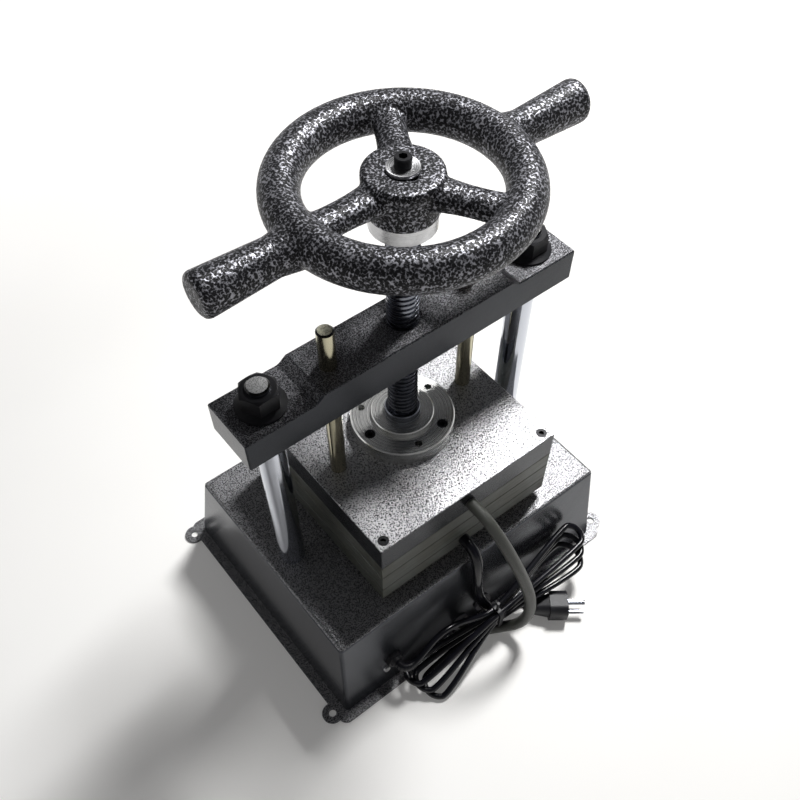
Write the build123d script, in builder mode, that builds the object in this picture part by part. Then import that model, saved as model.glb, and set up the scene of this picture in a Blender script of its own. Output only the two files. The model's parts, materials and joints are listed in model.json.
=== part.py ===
from build123d import *
from math import atan2, cos, pi, radians, sin, tan
import os

# Hand-wheel rubber mould vulcanizer: a screw press with two electrically heated platens.
# Millimetres, +Z up. The origin lies on the floor under the lead screw's axis. X runs along
# the crossbeam and -Y is the operator's side, so "left" is -X and "right" is +X.
os.makedirs("parts", exist_ok=True)

# ---------------------------------------------------------------- driving dimensions
fit_gap = 0.1             # radial gap of a piece in its own seat
running_gap = 0.05        # radial gap of a turning or sliding fit
seat_gap = 0.3            # gap of a loose seat

# base box, folded from sheet, and the plate under it
sheet = 2.0
plate_thick = 2.0
base_top_z = 120.0
top_half_x = 168.0
top_front_y = -129.0
top_back_y = 117.5
foot_half_x = 177.0
foot_front_y = -157.0
foot_back_y = 130.0
box_corner_r = 4.0
lip = 11.0
plate_corner_r = 9.0
ear_hole_out = 13.0       # from the box's foot
ear_hole_inset_front = 2.0
ear_hole_inset_back = 8.0
ear_hole_d = 8.0
ear_r = 11.0
anchor_thick = 10.0
anchor_side_gap = 6.0     # from the box's top edges
anchor_front_gap = 24.0
anchor_back_gap = 12.5
anchor_corner_r = 6.0

# columns and crossbeam
column_inset = 26.0       # from the box's top edge to a column's axis
column_d = 26.0
column_thread_d = 20.0
column_free_len = 206.0   # between the base and the crossbeam
column_chamfer = 1.5
beam_end = 33.0           # beyond a column's axis
beam_half_y = 27.5
beam_thick = 32.0
beam_rise = 6.0
slope_foot_inset = 34.0   # from a column's axis
slope_run = 8.0
beam_chamfer = 1.2
nut_collar_d = 42.8
nut_collar_thick = 3.5
nut_collar_edge = 2.0
nut_collar_slope = 1.5
nut_edge_drop = 2.0
nut_flats = 30.0
nut_height = 20.0
nut_thread_show = 4.0
foot_nut_height = 16.0

# platens, from the base up
stack_half_x = 105.0
stack_half_y = 102.5
board_inset = 6.0
board_thick = 12.0
lower_housing_thick = 18.0
lower_platen_thick = 22.5
mould_gap = 0.3
upper_platen_thick = 18.7
pressure_plate_thick = 30.5
platen_chamfer = 0.6
terminal_pocket_x = 80.0
terminal_pocket_y = 46.0
terminal_pocket_inset = 47.5   # its middle, from the rear edge
terminal_pocket_depth = 8.0
terminal_pocket_corner_r = 6.0
insulation_thick = 4.0
insulation_inset = 10.0
heater_d = 8.0
heater_leg_x = 50.0
heater_leg_setback = 3.0  # of the legs' ends, from the pocket's middle
heater_bend_inset = 82.5  # of the bend's centre, from the front edge
probe_d = 5.0
probe_setback = 11.0
probe_len = 50.0
platen_bolt_d = 6.0
platen_bolt_inset_x = 15.0
platen_bolt_inset_y = 16.5
platen_bolt_bite = 12.0
cover_screw_inset = 9.0
upper_cord_rise = 11.5    # above the pressure plate's underside
lower_cord_drop = 9.0     # below the lower housing plate's top
lower_cord_x = 4.0
cover_screw_bite = 13.0

# M6 and M8 socket head screws
m6_d = 6.0
m6_head_d = 10.0
m6_head_h = 6.0
m6_socket_flats = 5.0
m8_d = 8.0
m8_head_d = 13.0
m8_head_h = 8.0
m8_socket_flats = 6.0

# guide rods
rod_d = 15.0
rod_x = 79.5
rod_y = 4.0
rod_show = 40.0           # above the crossbeam
rod_chamfer = 1.5
rod_seat_depth = 14.0

# bearing flange and thrust bearing
flange_r = 50.0
flange_thick = 15.0
flange_step_r = 30.0
flange_step_h = 5.0
flange_hole_inset = 10.0
flange_edge = 1.0
flange_step_edge = 0.8
flange_screw_bite = 14.0
flange_tapped_d = 7.0
bearing_pocket_gap = 1.5
bearing_pocket_depth = 19.0
race_bore_gap = 0.8
race_w = 7.7
race_thick = 3.0
ball_d = 5.0
ball_track = 3.8          # from the race's bore to the balls' circle
ball_count = 10
cage_thick = 2.0
keeper_inset = 0.5
keeper_chamfer = 0.5

# lead screw
screw_d = 28.0
screw_mouth_w = 2.5
screw_mouth_depth = 2.0
journal_step = 4.0        # steps of the screw's radius
collar_step = 3.0
collar_h = 7.0
hub_seat_step = 3.0
hub_seat_top_inset = 3.0

# hand wheel
wheel_rise = 131.0        # above the crossbeam
rim_r = 88.0
rim_tube_r = 15.6
hub_rise = 13.0           # above the rim's plane
hub_top_r = 30.8
hub_top_disc_h = 9.0
hub_top_edge = 2.0
hub_step_slope = 3.0
hub_body_r = 28.0
hub_drop = 34.0           # below the rim's plane
hub_band_h = 12.0
hub_band_inset = 1.5
spoke_bury_hub = 8.0
spoke_bury_rim = 2.0
spoke_count = 3
spoke_hub_half_w = 17.0
spoke_mid_half_w = 12.5
spoke_rim_half_w = 15.5
spoke_hub_half_h = 11.0
spoke_mid_half_h = 9.5
spoke_rim_half_h = 10.5
handle_drop = 4.0
handle_reach = 85.0       # beyond the rim's circle
handle_foot_out = 6.0
handle_flare_len = 18.0
handle_end_r = 5.0
handle_neck_r = 14.5
handle_tip_r = 17.0
handle_flare_r = 17.5
washer_overlap = 1.5
washer_h = 2.5
key_w = 6.0
key_len = 28.0
key_rise = 4.0            # of its lower end, above the hub's foot
key_half_h = 3.0
hub_screw_len = 28.0

# control panel on the sloping front
controller_size = 72.0
controller_frame = 3.0
controller_gap = 0.5
controller_corner_r = 4.0
controller_chamfer = 1.5
controller_depth = 62.0
bezel_thick = 8.0
controller_x = -62.0
window_side = 8.0
window_y = 26.0
window_sunk = 0.5
window_rise = 14.0
window_thick = 2.0
key_cap_x = 11.0
key_cap_y = 7.0
key_cap_rise = 1.2
key_cap_travel = 0.8
key_pitch = 18.0
key_row_drop = 20.0
key_cap_gap = 0.25
panel_mid_z = 66.0
rocker_x = 66.0
switch_drop = 14.0
switch_flange_x = 26.0
switch_flange_y = 34.0
switch_flange_thick = 2.0
switch_body_depth = 24.0
switch_rim = 2.0
switch_rim_end = 2.5
switch_gap = 0.25
rocker_side = 4.0
rocker_end = 5.0
rocker_well_depth = 9.0
rocker_floor = 4.0
rocker_ridge = 3.2
rocker_wing = 5.4
rocker_tilt = 9.0
rocker_pin_d = 3.0
rocker_pin_bite = 1.5
rocker_gap = 0.35
lamp_rise = 24.0
lamp_d = 12.0
lamp_rim = 1.5
lamp_rim_thick = 2.0
lamp_dome_h = 3.0
lamp_body_depth = 22.0
relay_x = 58.0
relay_y = 45.0
relay_z = 26.0
relay_inset_x = 87.0      # of its middle, from the box's foot
relay_inset_y = 97.0
relay_hole_inset = 5.0
relay_hole_d = 4.6
relay_chamfer = 2.0
terminal_len = 64.0
terminal_w = 24.0
terminal_h = 20.0
terminal_inset_x = 137.0
terminal_inset_y = 70.0
terminal_count = 6
terminal_row_gap = 12.0
terminal_hole_d = 6.0
terminal_hole_depth = 4.0

# rear wall
gland_x = 112.0
gland_z = 42.0
gland_d = 14.0
gland_nut_rim = 1.5
gland_nut_h = 5.0
gland_nose = 8.0
gland_inside = 10.0
gland_lock_nut_h = 4.0
upper_entry_x = 22.0
upper_entry_z = 15.0
lower_entry_x = -10.0
lower_entry_z = 22.0
grommet_wall = 2.5
grommet_rim = 2.0
grommet_out = 3.0
grommet_in = 2.0
earth_screw_x = 122.0
earth_screw_z = 30.0
earth_screw_d = 8.0
earth_screw_h = 2.4
earth_shank_d = 4.0
earth_shank_len = 12.0
vent_hole_x = 16.0
vent_hole_z = 62.0
vent_hole_d = 4.0

# cords
heater_cord_d = 12.0
power_cord_d = 6.5
cord_share = 0.45         # of the shorter run, taken by each arc of a cord
hank_turns = 3
hank_step = 7.2
waist_x = -6.0
waist_y = 154.5
waist_half = 3.6
waist_reach = 12.0
waist_floor_z = 24.5
left_end = (-108, 150.5, 37.5)      # middle of the lowest turn's left end
left_end_step = (-8, -4.5, 11)      # from each turn to the next one up
left_bow_r, left_bow_step = 20, 3.5
left_lean = 1.5
right_end = (81, 166, 4.2)
right_end_step = (7, -9, 7.8)
right_bow_r, right_bow_step = 16, 1.5
end_corners = 5
end_sweep = radians(200)
tie_w = 5.0
tie_thick = 1.4
tie_twist_d = 3.2
tie_twist_h = 14.0
plug_len = 36.0
plug_w = 30.0
plug_h = 27.0
plug_relief = 12.0
plug_relief_tip_w = 1.2   # of rubber round the cord, at the relief's tip and foot
plug_relief_foot_w = 3.0
plug_blade_x = 6.35
plug_blade_rise = 3.0
plug_earth_drop = 7.0
plug_earth_d = 4.8
plug_turn = radians(38)
plug_pin_len = 19.0
plug_pin_w = 6.3
plug_pin_t = 1.6

# ---------------------------------------------------------------- levels and planes
column_x = top_half_x - column_inset
beam_half_x = column_x + beam_end
slope_foot_x = column_x - slope_foot_inset
slope_top_x = slope_foot_x - slope_run
beam_under_z = base_top_z + column_free_len
beam_top_z = beam_under_z + beam_thick
beam_mid_z = beam_top_z + beam_rise
rod_top_z = beam_mid_z + rod_show
wheel_z = beam_mid_z + wheel_rise
hub_top_z = wheel_z + hub_rise
hub_bottom_z = wheel_z - hub_drop
board_z = base_top_z
lower_housing_z = board_z + board_thick
lower_platen_z = lower_housing_z + lower_housing_thick
parting_z = lower_platen_z + lower_platen_thick
upper_platen_z = parting_z + mould_gap
pressure_z = upper_platen_z + upper_platen_thick
pressure_top_z = pressure_z + pressure_plate_thick
flange_top_z = pressure_top_z + flange_thick
flange_step_z = flange_top_z + flange_step_h
bearing_z = pressure_top_z - bearing_pocket_depth
cage_z = bearing_z + race_thick + ball_d / 2
upper_race_z = bearing_z + race_thick + ball_d + fit_gap
keeper_z = upper_race_z + race_thick
collar_z = flange_step_z + seat_gap
collar_top_z = collar_z + collar_h
anchor_z = base_top_z - sheet - anchor_thick
upper_cord_z = pressure_z + upper_cord_rise
lower_cord_z = lower_platen_z - lower_cord_drop
foot_mid_y = (foot_front_y + foot_back_y) / 2
foot_depth = foot_back_y - foot_front_y
top_mid_y = (top_front_y + top_back_y) / 2
top_depth = top_back_y - top_front_y
wall_h = base_top_z - plate_thick
ear_hole_x = foot_half_x + ear_hole_out
ear_front_y = foot_front_y + ear_hole_inset_front
ear_back_y = foot_back_y - ear_hole_inset_back
anchor_half_x = top_half_x - anchor_side_gap
anchor_front_y = top_front_y + anchor_front_gap
anchor_back_y = top_back_y - anchor_back_gap

# plan of the platens and what lies in them
platen_bolt_x = stack_half_x - platen_bolt_inset_x
platen_bolt_y = stack_half_y - platen_bolt_inset_y
terminal_pocket_mid_y = stack_half_y - terminal_pocket_inset
heater_leg_back_y = terminal_pocket_mid_y - heater_leg_setback
heater_bend_y = heater_bend_inset - stack_half_y
probe_back_y = terminal_pocket_mid_y - probe_setback
probe_front_y = probe_back_y - probe_len

# radii and widths of what fits together
journal_d = screw_d - 2 * journal_step
collar_d = screw_d + 2 * collar_step
hub_seat_d = screw_d - 2 * hub_seat_step
screw_mouth_d = screw_d + 2 * screw_mouth_w
race_in_r = journal_d / 2 + race_bore_gap
race_out_r = race_in_r + race_w
ball_circle_r = race_in_r + ball_track
keeper_r = race_out_r - keeper_inset
bearing_pocket_r = race_out_r + bearing_pocket_gap
flange_hole_r = flange_r - flange_hole_inset
hub_band_r = hub_body_r - hub_band_inset
handle_tip_x = rim_r + handle_reach
washer_d = hub_seat_d + 2 * washer_overlap
key_out_r = hub_seat_d / 2 + key_half_h
key_in_r = hub_seat_d / 2 - key_half_h
controller_body = controller_size - 2 * controller_frame
window_x = controller_size - 2 * window_side
switch_body_x = switch_flange_x - 2 * switch_rim
switch_body_y = switch_flange_y - 2 * switch_rim_end
rocker_w = switch_flange_x - 2 * rocker_side
rocker_r = switch_flange_y / 2 - rocker_end
rocker_pin_len = rocker_w + 2 * rocker_pin_bite
lamp_body_d = lamp_d - 2 * lamp_rim
gland_nut_flats = gland_d + 2 * gland_nut_rim
grommet_groove_d = heater_cord_d + 2 * grommet_wall
grommet_d = grommet_groove_d + 2 * grommet_rim

front_slope = atan2(top_front_y - foot_front_y, wall_h)
back_slope = atan2(foot_back_y - top_back_y, wall_h)


def half_x(z):
    return foot_half_x + (top_half_x - foot_half_x) * (z - plate_thick) / wall_h


def front_y(z):
    return foot_front_y + (z - plate_thick) * tan(front_slope)


def back_y(z):
    return foot_back_y - (z - plate_thick) * tan(back_slope)


def front_plane(x, up=0.0):
    """Plane on the sloping front, its normal outward; up is measured along the slope."""
    y = front_y(panel_mid_z) + up * sin(front_slope)
    z = panel_mid_z + up * cos(front_slope)
    return Plane((x, y, z), x_dir=(1, 0, 0), z_dir=(0, -cos(front_slope), sin(front_slope)))


def back_plane(x, z):
    """Plane on the rear wall, its normal outward."""
    return Plane((x, back_y(z), z), x_dir=(-1, 0, 0), z_dir=(0, cos(back_slope), sin(back_slope)))


def off_wall(x, z, distance):
    """Point at a distance from the rear wall along its normal."""
    return (x, back_y(z) + distance * cos(back_slope), z + distance * sin(back_slope))


def cord_radii(points):
    """Largest tidy arc at each corner: a share of the shorter run over tan(half the turn)."""
    radii = []
    for before, corner, after in zip(points, points[1:], points[2:]):
        run_in = Vector(*corner) - Vector(*before)
        run_out = Vector(*after) - Vector(*corner)
        turn = radians(run_in.get_angle(run_out))
        radii.append(cord_share * min(run_in.length, run_out.length) / tan(turn / 2))
    return radii


def report_cord(name, points, radii, piece, line, diameter):
    """Print a cord's tightest arc and compare its volume with section times length."""
    length = line.wires()[0].length
    section = pi * diameter**2 / 4
    print(name, "length", round(length, 1), "least radius", round(min(radii), 1),
          "volume ratio", round(piece.part.volume / (section * length), 4))
    print("   radii", [round(r, 1) for r in radii])


# ================================================================ base
# Plate under the box: a lip all round and a rounded ear with a hole at each corner.
lip_half_x = foot_half_x + lip
lip_front_y = foot_front_y - lip
lip_back_y = foot_back_y + lip
ear_spots = [(sx * ear_hole_x, y) for sx in (-1, 1) for y in (ear_front_y, ear_back_y)]

with BuildPart() as base_plate:
    with BuildSketch():
        with Locations((0, (lip_front_y + lip_back_y) / 2)):
            RectangleRounded(2 * lip_half_x, lip_back_y - lip_front_y, plate_corner_r)
        with Locations(*ear_spots):
            Circle(ear_r)
        with Locations(*ear_spots):
            Circle(ear_hole_d / 2, mode=Mode.SUBTRACT)
    extrude(amount=plate_thick)
base_plate.part.label = "base_plate"
export_step(base_plate.part, "parts/base_plate.step")

# Folded box: four walls and a top, open below, with its cut-outs.
inner_top_z = base_top_z - sheet
with BuildPart() as base_housing:
    with BuildSketch(Plane.XY.offset(plate_thick)):
        with Locations((0, foot_mid_y)):
            Rectangle(2 * foot_half_x, foot_depth)
    with BuildSketch(Plane.XY.offset(base_top_z)):
        with Locations((0, top_mid_y)):
            Rectangle(2 * top_half_x, top_depth)
    loft(ruled=True)
    box_bottom = base_housing.faces().sort_by(Axis.Z)[0]
    fillet(base_housing.edges() - box_bottom.edges(), box_corner_r)
    with BuildSketch(Plane.XY.offset(plate_thick)):
        with Locations((0, foot_mid_y)):
            Rectangle(2 * (foot_half_x - sheet), foot_depth - 2 * sheet)
    with BuildSketch(Plane.XY.offset(inner_top_z)):
        with Locations((0, (front_y(inner_top_z) + back_y(inner_top_z)) / 2)):
            Rectangle(2 * (half_x(inner_top_z) - sheet),
                      back_y(inner_top_z) - front_y(inner_top_z) - 2 * sheet)
    loft(ruled=True, mode=Mode.SUBTRACT)
    with BuildSketch(Plane.XY.offset(base_top_z)):
        with GridLocations(2 * column_x, 0, 2, 1):
            Circle(column_thread_d / 2 + fit_gap)
        with GridLocations(2 * platen_bolt_x, 2 * platen_bolt_y, 2, 2):
            Circle(platen_bolt_d / 2 + seat_gap)
    extrude(amount=-2 * sheet, mode=Mode.SUBTRACT)
    with BuildSketch(front_plane(controller_x)):
        Rectangle(controller_body + 2 * controller_gap, controller_body + 2 * controller_gap)
    extrude(amount=2 * sheet, both=True, mode=Mode.SUBTRACT)
    with BuildSketch(front_plane(rocker_x, -switch_drop)):
        Rectangle(switch_body_x + 2 * switch_gap, switch_body_y + 2 * switch_gap)
    extrude(amount=2 * sheet, both=True, mode=Mode.SUBTRACT)
    with BuildSketch(front_plane(rocker_x, lamp_rise)):
        Circle(lamp_body_d / 2 + fit_gap)
    extrude(amount=2 * sheet, both=True, mode=Mode.SUBTRACT)
    for cut_x, cut_z, cut_d in (
        (gland_x, gland_z, gland_d + 2 * fit_gap),
        (upper_entry_x, upper_entry_z, grommet_groove_d + 2 * fit_gap),
        (lower_entry_x, lower_entry_z, grommet_groove_d + 2 * fit_gap),
        (vent_hole_x, vent_hole_z, vent_hole_d),
        (earth_screw_x, earth_screw_z, earth_shank_d + 2 * fit_gap),
    ):
        with BuildSketch(back_plane(cut_x, cut_z)):
            Circle(cut_d / 2)
        extrude(amount=2 * sheet, both=True, mode=Mode.SUBTRACT)
base_housing.part.label = "base_housing"
export_step(base_housing.part, "parts/base_housing.step")

# Steel plate under the box's top: it takes the press force between the columns.
with BuildPart() as anchor_plate:
    with BuildSketch(Plane.XY.offset(anchor_z)):
        with Locations((0, (anchor_front_y + anchor_back_y) / 2)):
            RectangleRounded(2 * anchor_half_x, anchor_back_y - anchor_front_y, anchor_corner_r)
        with GridLocations(2 * column_x, 0, 2, 1):
            Circle(column_thread_d / 2 + fit_gap, mode=Mode.SUBTRACT)
        with GridLocations(2 * platen_bolt_x, 2 * platen_bolt_y, 2, 2):
            Circle(platen_bolt_d / 2 + seat_gap, mode=Mode.SUBTRACT)
    extrude(amount=anchor_thick)
anchor_plate.part.label = "anchor_plate"
export_step(anchor_plate.part, "parts/anchor_plate.step")

# ================================================================ columns, crossbeam, nuts
column_thread_top_z = beam_top_z + nut_height + nut_thread_show
column_thread_foot_z = anchor_z - foot_nut_height - nut_thread_show

for side, column_name in ((-1, "column_left"), (1, "column_right")):
    with BuildPart() as column:
        with BuildSketch(Plane.XZ):
            with BuildLine():
                Polyline(
                    (side * column_x, column_thread_foot_z),
                    (side * column_x + column_thread_d / 2, column_thread_foot_z),
                    (side * column_x + column_thread_d / 2, base_top_z),
                    (side * column_x + column_d / 2, base_top_z),
                    (side * column_x + column_d / 2, beam_under_z),
                    (side * column_x + column_thread_d / 2, beam_under_z),
                    (side * column_x + column_thread_d / 2, column_thread_top_z - column_chamfer),
                    (side * column_x + column_thread_d / 2 - column_chamfer, column_thread_top_z),
                    (side * column_x, column_thread_top_z),
                    close=True,
                )
            make_face()
        revolve(axis=Axis((side * column_x, 0, 0), (0, 0, 1)))
    column.part.label = column_name
    export_step(column.part, f"parts/{column_name}.step")

with BuildPart() as column_foot_nuts:
    with BuildSketch(Plane.XY.offset(anchor_z)):
        with GridLocations(2 * column_x, 0, 2, 1):
            RegularPolygon(nut_flats / 2, 6, major_radius=False)
        with GridLocations(2 * column_x, 0, 2, 1):
            Circle(column_thread_d / 2 + fit_gap, mode=Mode.SUBTRACT)
    extrude(amount=-foot_nut_height)
column_foot_nuts.part.label = "column_foot_nuts"
export_step(column_foot_nuts.part, "parts/column_foot_nuts.step")

# Crossbeam: flat ends for the nuts, a thicker middle reached by two short slopes.
with BuildPart() as crossbeam:
    with BuildSketch(Plane.XZ.offset(-beam_half_y)):
        with BuildLine():
            Polyline(
                (-beam_half_x, beam_under_z),
                (beam_half_x, beam_under_z),
                (beam_half_x, beam_top_z),
                (slope_foot_x, beam_top_z),
                (slope_top_x, beam_mid_z),
                (-slope_top_x, beam_mid_z),
                (-slope_foot_x, beam_top_z),
                (-beam_half_x, beam_top_z),
                close=True,
            )
        make_face()
    extrude(amount=2 * beam_half_y)
    chamfer(crossbeam.edges(), beam_chamfer)
    with Locations((0, 0, beam_mid_z)):
        Cylinder(
            screw_d / 2 + running_gap, beam_thick + beam_rise,
            align=(Align.CENTER, Align.CENTER, Align.MAX), mode=Mode.SUBTRACT,
        )
        Cylinder(
            screw_mouth_d / 2, screw_mouth_depth,
            align=(Align.CENTER, Align.CENTER, Align.MAX), mode=Mode.SUBTRACT,
        )
    for rod_side in (-1, 1):
        with Locations((rod_side * rod_x, rod_side * rod_y, beam_mid_z)):
            Cylinder(
                rod_d / 2 + running_gap, beam_thick + beam_rise,
                align=(Align.CENTER, Align.CENTER, Align.MAX), mode=Mode.SUBTRACT,
            )
    with GridLocations(2 * column_x, 0, 2, 1):
        with Locations((0, 0, beam_top_z)):
            Cylinder(
                column_thread_d / 2 + fit_gap, beam_thick,
                align=(Align.CENTER, Align.CENTER, Align.MAX), mode=Mode.SUBTRACT,
            )
crossbeam.part.label = "crossbeam"
export_step(crossbeam.part, "parts/crossbeam.step")

# Flanged hexagon nuts on the column ends.
nut_corner_r = nut_flats / 2 / cos(radians(30))
nut_collar_edge_z = beam_top_z + nut_collar_edge
nut_collar_z = beam_top_z + nut_collar_thick + nut_collar_slope
for side, nut_name in ((-1, "column_nut_left"), (1, "column_nut_right")):
    with BuildPart() as column_nut:
        with BuildSketch(Plane.XY.offset(beam_top_z)):
            with Locations((side * column_x, 0)):
                RegularPolygon(nut_flats / 2, 6, major_radius=False)
        extrude(amount=nut_height)
        with BuildSketch(Plane.XZ):
            with BuildLine():
                Polyline(
                    (side * column_x, beam_top_z),
                    (side * column_x + nut_collar_d / 2, beam_top_z),
                    (side * column_x + nut_collar_d / 2, nut_collar_edge_z),
                    (side * column_x + nut_corner_r, nut_collar_z),
                    (side * column_x + nut_corner_r + 1, beam_top_z + nut_height - nut_edge_drop),
                    (side * column_x + nut_flats / 2 - 0.5, beam_top_z + nut_height),
                    (side * column_x, beam_top_z + nut_height),
                    close=True,
                )
            make_face()
        revolve(axis=Axis((side * column_x, 0, 0), (0, 0, 1)), mode=Mode.INTERSECT)
        with BuildSketch(Plane.XZ):
            with BuildLine():
                Polyline(
                    (side * column_x, beam_top_z),
                    (side * column_x + nut_collar_d / 2, beam_top_z),
                    (side * column_x + nut_collar_d / 2, nut_collar_edge_z),
                    (side * column_x + nut_flats / 2, nut_collar_z),
                    (side * column_x, nut_collar_z),
                    close=True,
                )
            make_face()
        revolve(axis=Axis((side * column_x, 0, 0), (0, 0, 1)))
        with Locations((side * column_x, 0, beam_top_z)):
            Cylinder(
                column_thread_d / 2 + fit_gap, nut_height,
                align=(Align.CENTER, Align.CENTER, Align.MIN), mode=Mode.SUBTRACT,
            )
    column_nut.part.label = nut_name
    export_step(column_nut.part, f"parts/{nut_name}.step")

# ================================================================ lower platen stack
with BuildPart() as insulation_board:
    with BuildSketch(Plane.XY.offset(board_z)):
        Rectangle(2 * (stack_half_x - board_inset), 2 * (stack_half_y - board_inset))
        with GridLocations(2 * platen_bolt_x, 2 * platen_bolt_y, 2, 2):
            Circle(platen_bolt_d / 2 + seat_gap, mode=Mode.SUBTRACT)
    extrude(amount=board_thick)
insulation_board.part.label = "insulation_board"
export_step(insulation_board.part, "parts/insulation_board.step")

with BuildPart() as lower_housing_plate:
    with BuildSketch(Plane.XY.offset(lower_housing_z)):
        Rectangle(2 * stack_half_x, 2 * stack_half_y)
    extrude(amount=lower_housing_thick)
    chamfer(lower_housing_plate.edges(), platen_chamfer)
    with BuildSketch(Plane.XY.offset(lower_platen_z)):
        with Locations((0, terminal_pocket_mid_y)):
            RectangleRounded(terminal_pocket_x, terminal_pocket_y, terminal_pocket_corner_r)
    extrude(amount=-terminal_pocket_depth, mode=Mode.SUBTRACT)
    with BuildSketch(Plane.XZ.offset(-stack_half_y)):
        with Locations((lower_cord_x, lower_cord_z)):
            Circle(heater_cord_d / 2 + fit_gap)
    extrude(amount=stack_half_y - terminal_pocket_mid_y, mode=Mode.SUBTRACT)
    with BuildSketch(Plane.XY.offset(lower_housing_z)):
        with GridLocations(2 * platen_bolt_x, 2 * platen_bolt_y, 2, 2):
            Circle(platen_bolt_d / 2 + seat_gap)
    extrude(amount=lower_housing_thick, mode=Mode.SUBTRACT)
lower_housing_plate.part.label = "lower_housing_plate"
export_step(lower_housing_plate.part, "parts/lower_housing_plate.step")


def heater_line(level):
    """U of a tubular heater: two legs and a half circle, at a level."""
    back = heater_leg_back_y
    bend = heater_bend_y
    Line((-heater_leg_x, back, level), (-heater_leg_x, bend, level))
    ThreePointArc(
        (-heater_leg_x, bend, level), (0, bend - heater_leg_x, level), (heater_leg_x, bend, level)
    )
    Line((heater_leg_x, bend, level), (heater_leg_x, back, level))


groove_w = heater_d + 2 * fit_gap


def groove_sketch():
    """Plan of the heater's groove and the probe's groove."""
    leg_len = heater_leg_back_y + fit_gap - heater_bend_y
    with Locations((0, heater_bend_y)):
        Circle(heater_leg_x + groove_w / 2)
        Circle(heater_leg_x - groove_w / 2, mode=Mode.SUBTRACT)
    with Locations((0, heater_bend_y + heater_leg_x)):
        Rectangle(4 * heater_leg_x, 2 * heater_leg_x, mode=Mode.SUBTRACT)
    with GridLocations(2 * heater_leg_x, 0, 2, 1):
        with Locations((0, heater_bend_y + leg_len / 2)):
            Rectangle(groove_w, leg_len)
    with Locations((0, (probe_back_y + probe_front_y) / 2)):
        Rectangle(probe_d + 2 * fit_gap, probe_back_y - probe_front_y + 2 * fit_gap)


with BuildPart() as lower_heating_platen:
    with BuildSketch(Plane.XY.offset(lower_platen_z)):
        Rectangle(2 * stack_half_x, 2 * stack_half_y)
    extrude(amount=lower_platen_thick)
    chamfer(lower_heating_platen.edges(), platen_chamfer)
    with BuildSketch(Plane.XY.offset(lower_platen_z)):
        groove_sketch()
    extrude(amount=groove_w, mode=Mode.SUBTRACT)
    with BuildSketch(Plane.XY.offset(lower_platen_z)):
        with GridLocations(2 * platen_bolt_x, 2 * platen_bolt_y, 2, 2):
            Circle(platen_bolt_d / 2 + fit_gap)
    extrude(amount=platen_bolt_bite + 1, mode=Mode.SUBTRACT)
lower_heating_platen.part.label = "lower_heating_platen"
export_step(lower_heating_platen.part, "parts/lower_heating_platen.step")

lower_heater_z = lower_platen_z + groove_w / 2
with BuildPart() as lower_heater:
    with BuildLine():
        heater_line(lower_heater_z)
    with BuildSketch(Plane((-heater_leg_x, heater_leg_back_y, lower_heater_z), z_dir=(0, -1, 0))):
        Circle(heater_d / 2)
    sweep()
lower_heater.part.label = "lower_heater"
export_step(lower_heater.part, "parts/lower_heater.step")

with BuildPart() as lower_thermocouple:
    with BuildSketch(Plane.XZ.offset(-probe_back_y)):
        with Locations((0, lower_platen_z + probe_d / 2 + fit_gap)):
            Circle(probe_d / 2)
    extrude(amount=probe_back_y - probe_front_y)
    fillet(lower_thermocouple.faces().sort_by(Axis.Y)[0].edges(), probe_d / 2 - 0.5)
lower_thermocouple.part.label = "lower_thermocouple"
export_step(lower_thermocouple.part, "parts/lower_thermocouple.step")

# Four screws hold the lower stack down, from under the anchor plate.
bolt_tip_z = lower_platen_z + platen_bolt_bite
with BuildPart() as lower_platen_bolts:
    with BuildSketch(Plane.XY.offset(anchor_z)):
        with GridLocations(2 * platen_bolt_x, 2 * platen_bolt_y, 2, 2):
            Circle(platen_bolt_d / 2)
    extrude(amount=bolt_tip_z - anchor_z)
    with BuildSketch(Plane.XY.offset(anchor_z)):
        with GridLocations(2 * platen_bolt_x, 2 * platen_bolt_y, 2, 2):
            Circle(m6_head_d / 2)
    extrude(amount=-m6_head_h)
    with BuildSketch(Plane.XY.offset(anchor_z - m6_head_h)):
        with GridLocations(2 * platen_bolt_x, 2 * platen_bolt_y, 2, 2):
            RegularPolygon(m6_socket_flats / 2, 6, major_radius=False)
    extrude(amount=m6_head_h / 2, mode=Mode.SUBTRACT)
lower_platen_bolts.part.label = "lower_platen_bolts"
export_step(lower_platen_bolts.part, "parts/lower_platen_bolts.step")

# ================================================================ upper platen stack
cover_screw_x = stack_half_x - cover_screw_inset
cover_screw_y = stack_half_y - cover_screw_inset

with BuildPart() as upper_heating_platen:
    with BuildSketch(Plane.XY.offset(upper_platen_z)):
        Rectangle(2 * stack_half_x, 2 * stack_half_y)
    extrude(amount=upper_platen_thick)
    chamfer(upper_heating_platen.edges(), platen_chamfer)
    with BuildSketch(Plane.XY.offset(pressure_z)):
        groove_sketch()
    extrude(amount=-groove_w, mode=Mode.SUBTRACT)
    with BuildSketch(Plane.XY.offset(pressure_z)):
        with GridLocations(2 * cover_screw_x, 2 * cover_screw_y, 2, 2):
            Circle(m6_d / 2 + fit_gap)
    extrude(amount=-cover_screw_bite - 1, mode=Mode.SUBTRACT)
upper_heating_platen.part.label = "upper_heating_platen"
export_step(upper_heating_platen.part, "parts/upper_heating_platen.step")

upper_heater_z = pressure_z - groove_w / 2
with BuildPart() as upper_heater:
    with BuildLine():
        heater_line(upper_heater_z)
    with BuildSketch(Plane((-heater_leg_x, heater_leg_back_y, upper_heater_z), z_dir=(0, -1, 0))):
        Circle(heater_d / 2)
    sweep()
upper_heater.part.label = "upper_heater"
export_step(upper_heater.part, "parts/upper_heater.step")

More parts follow.
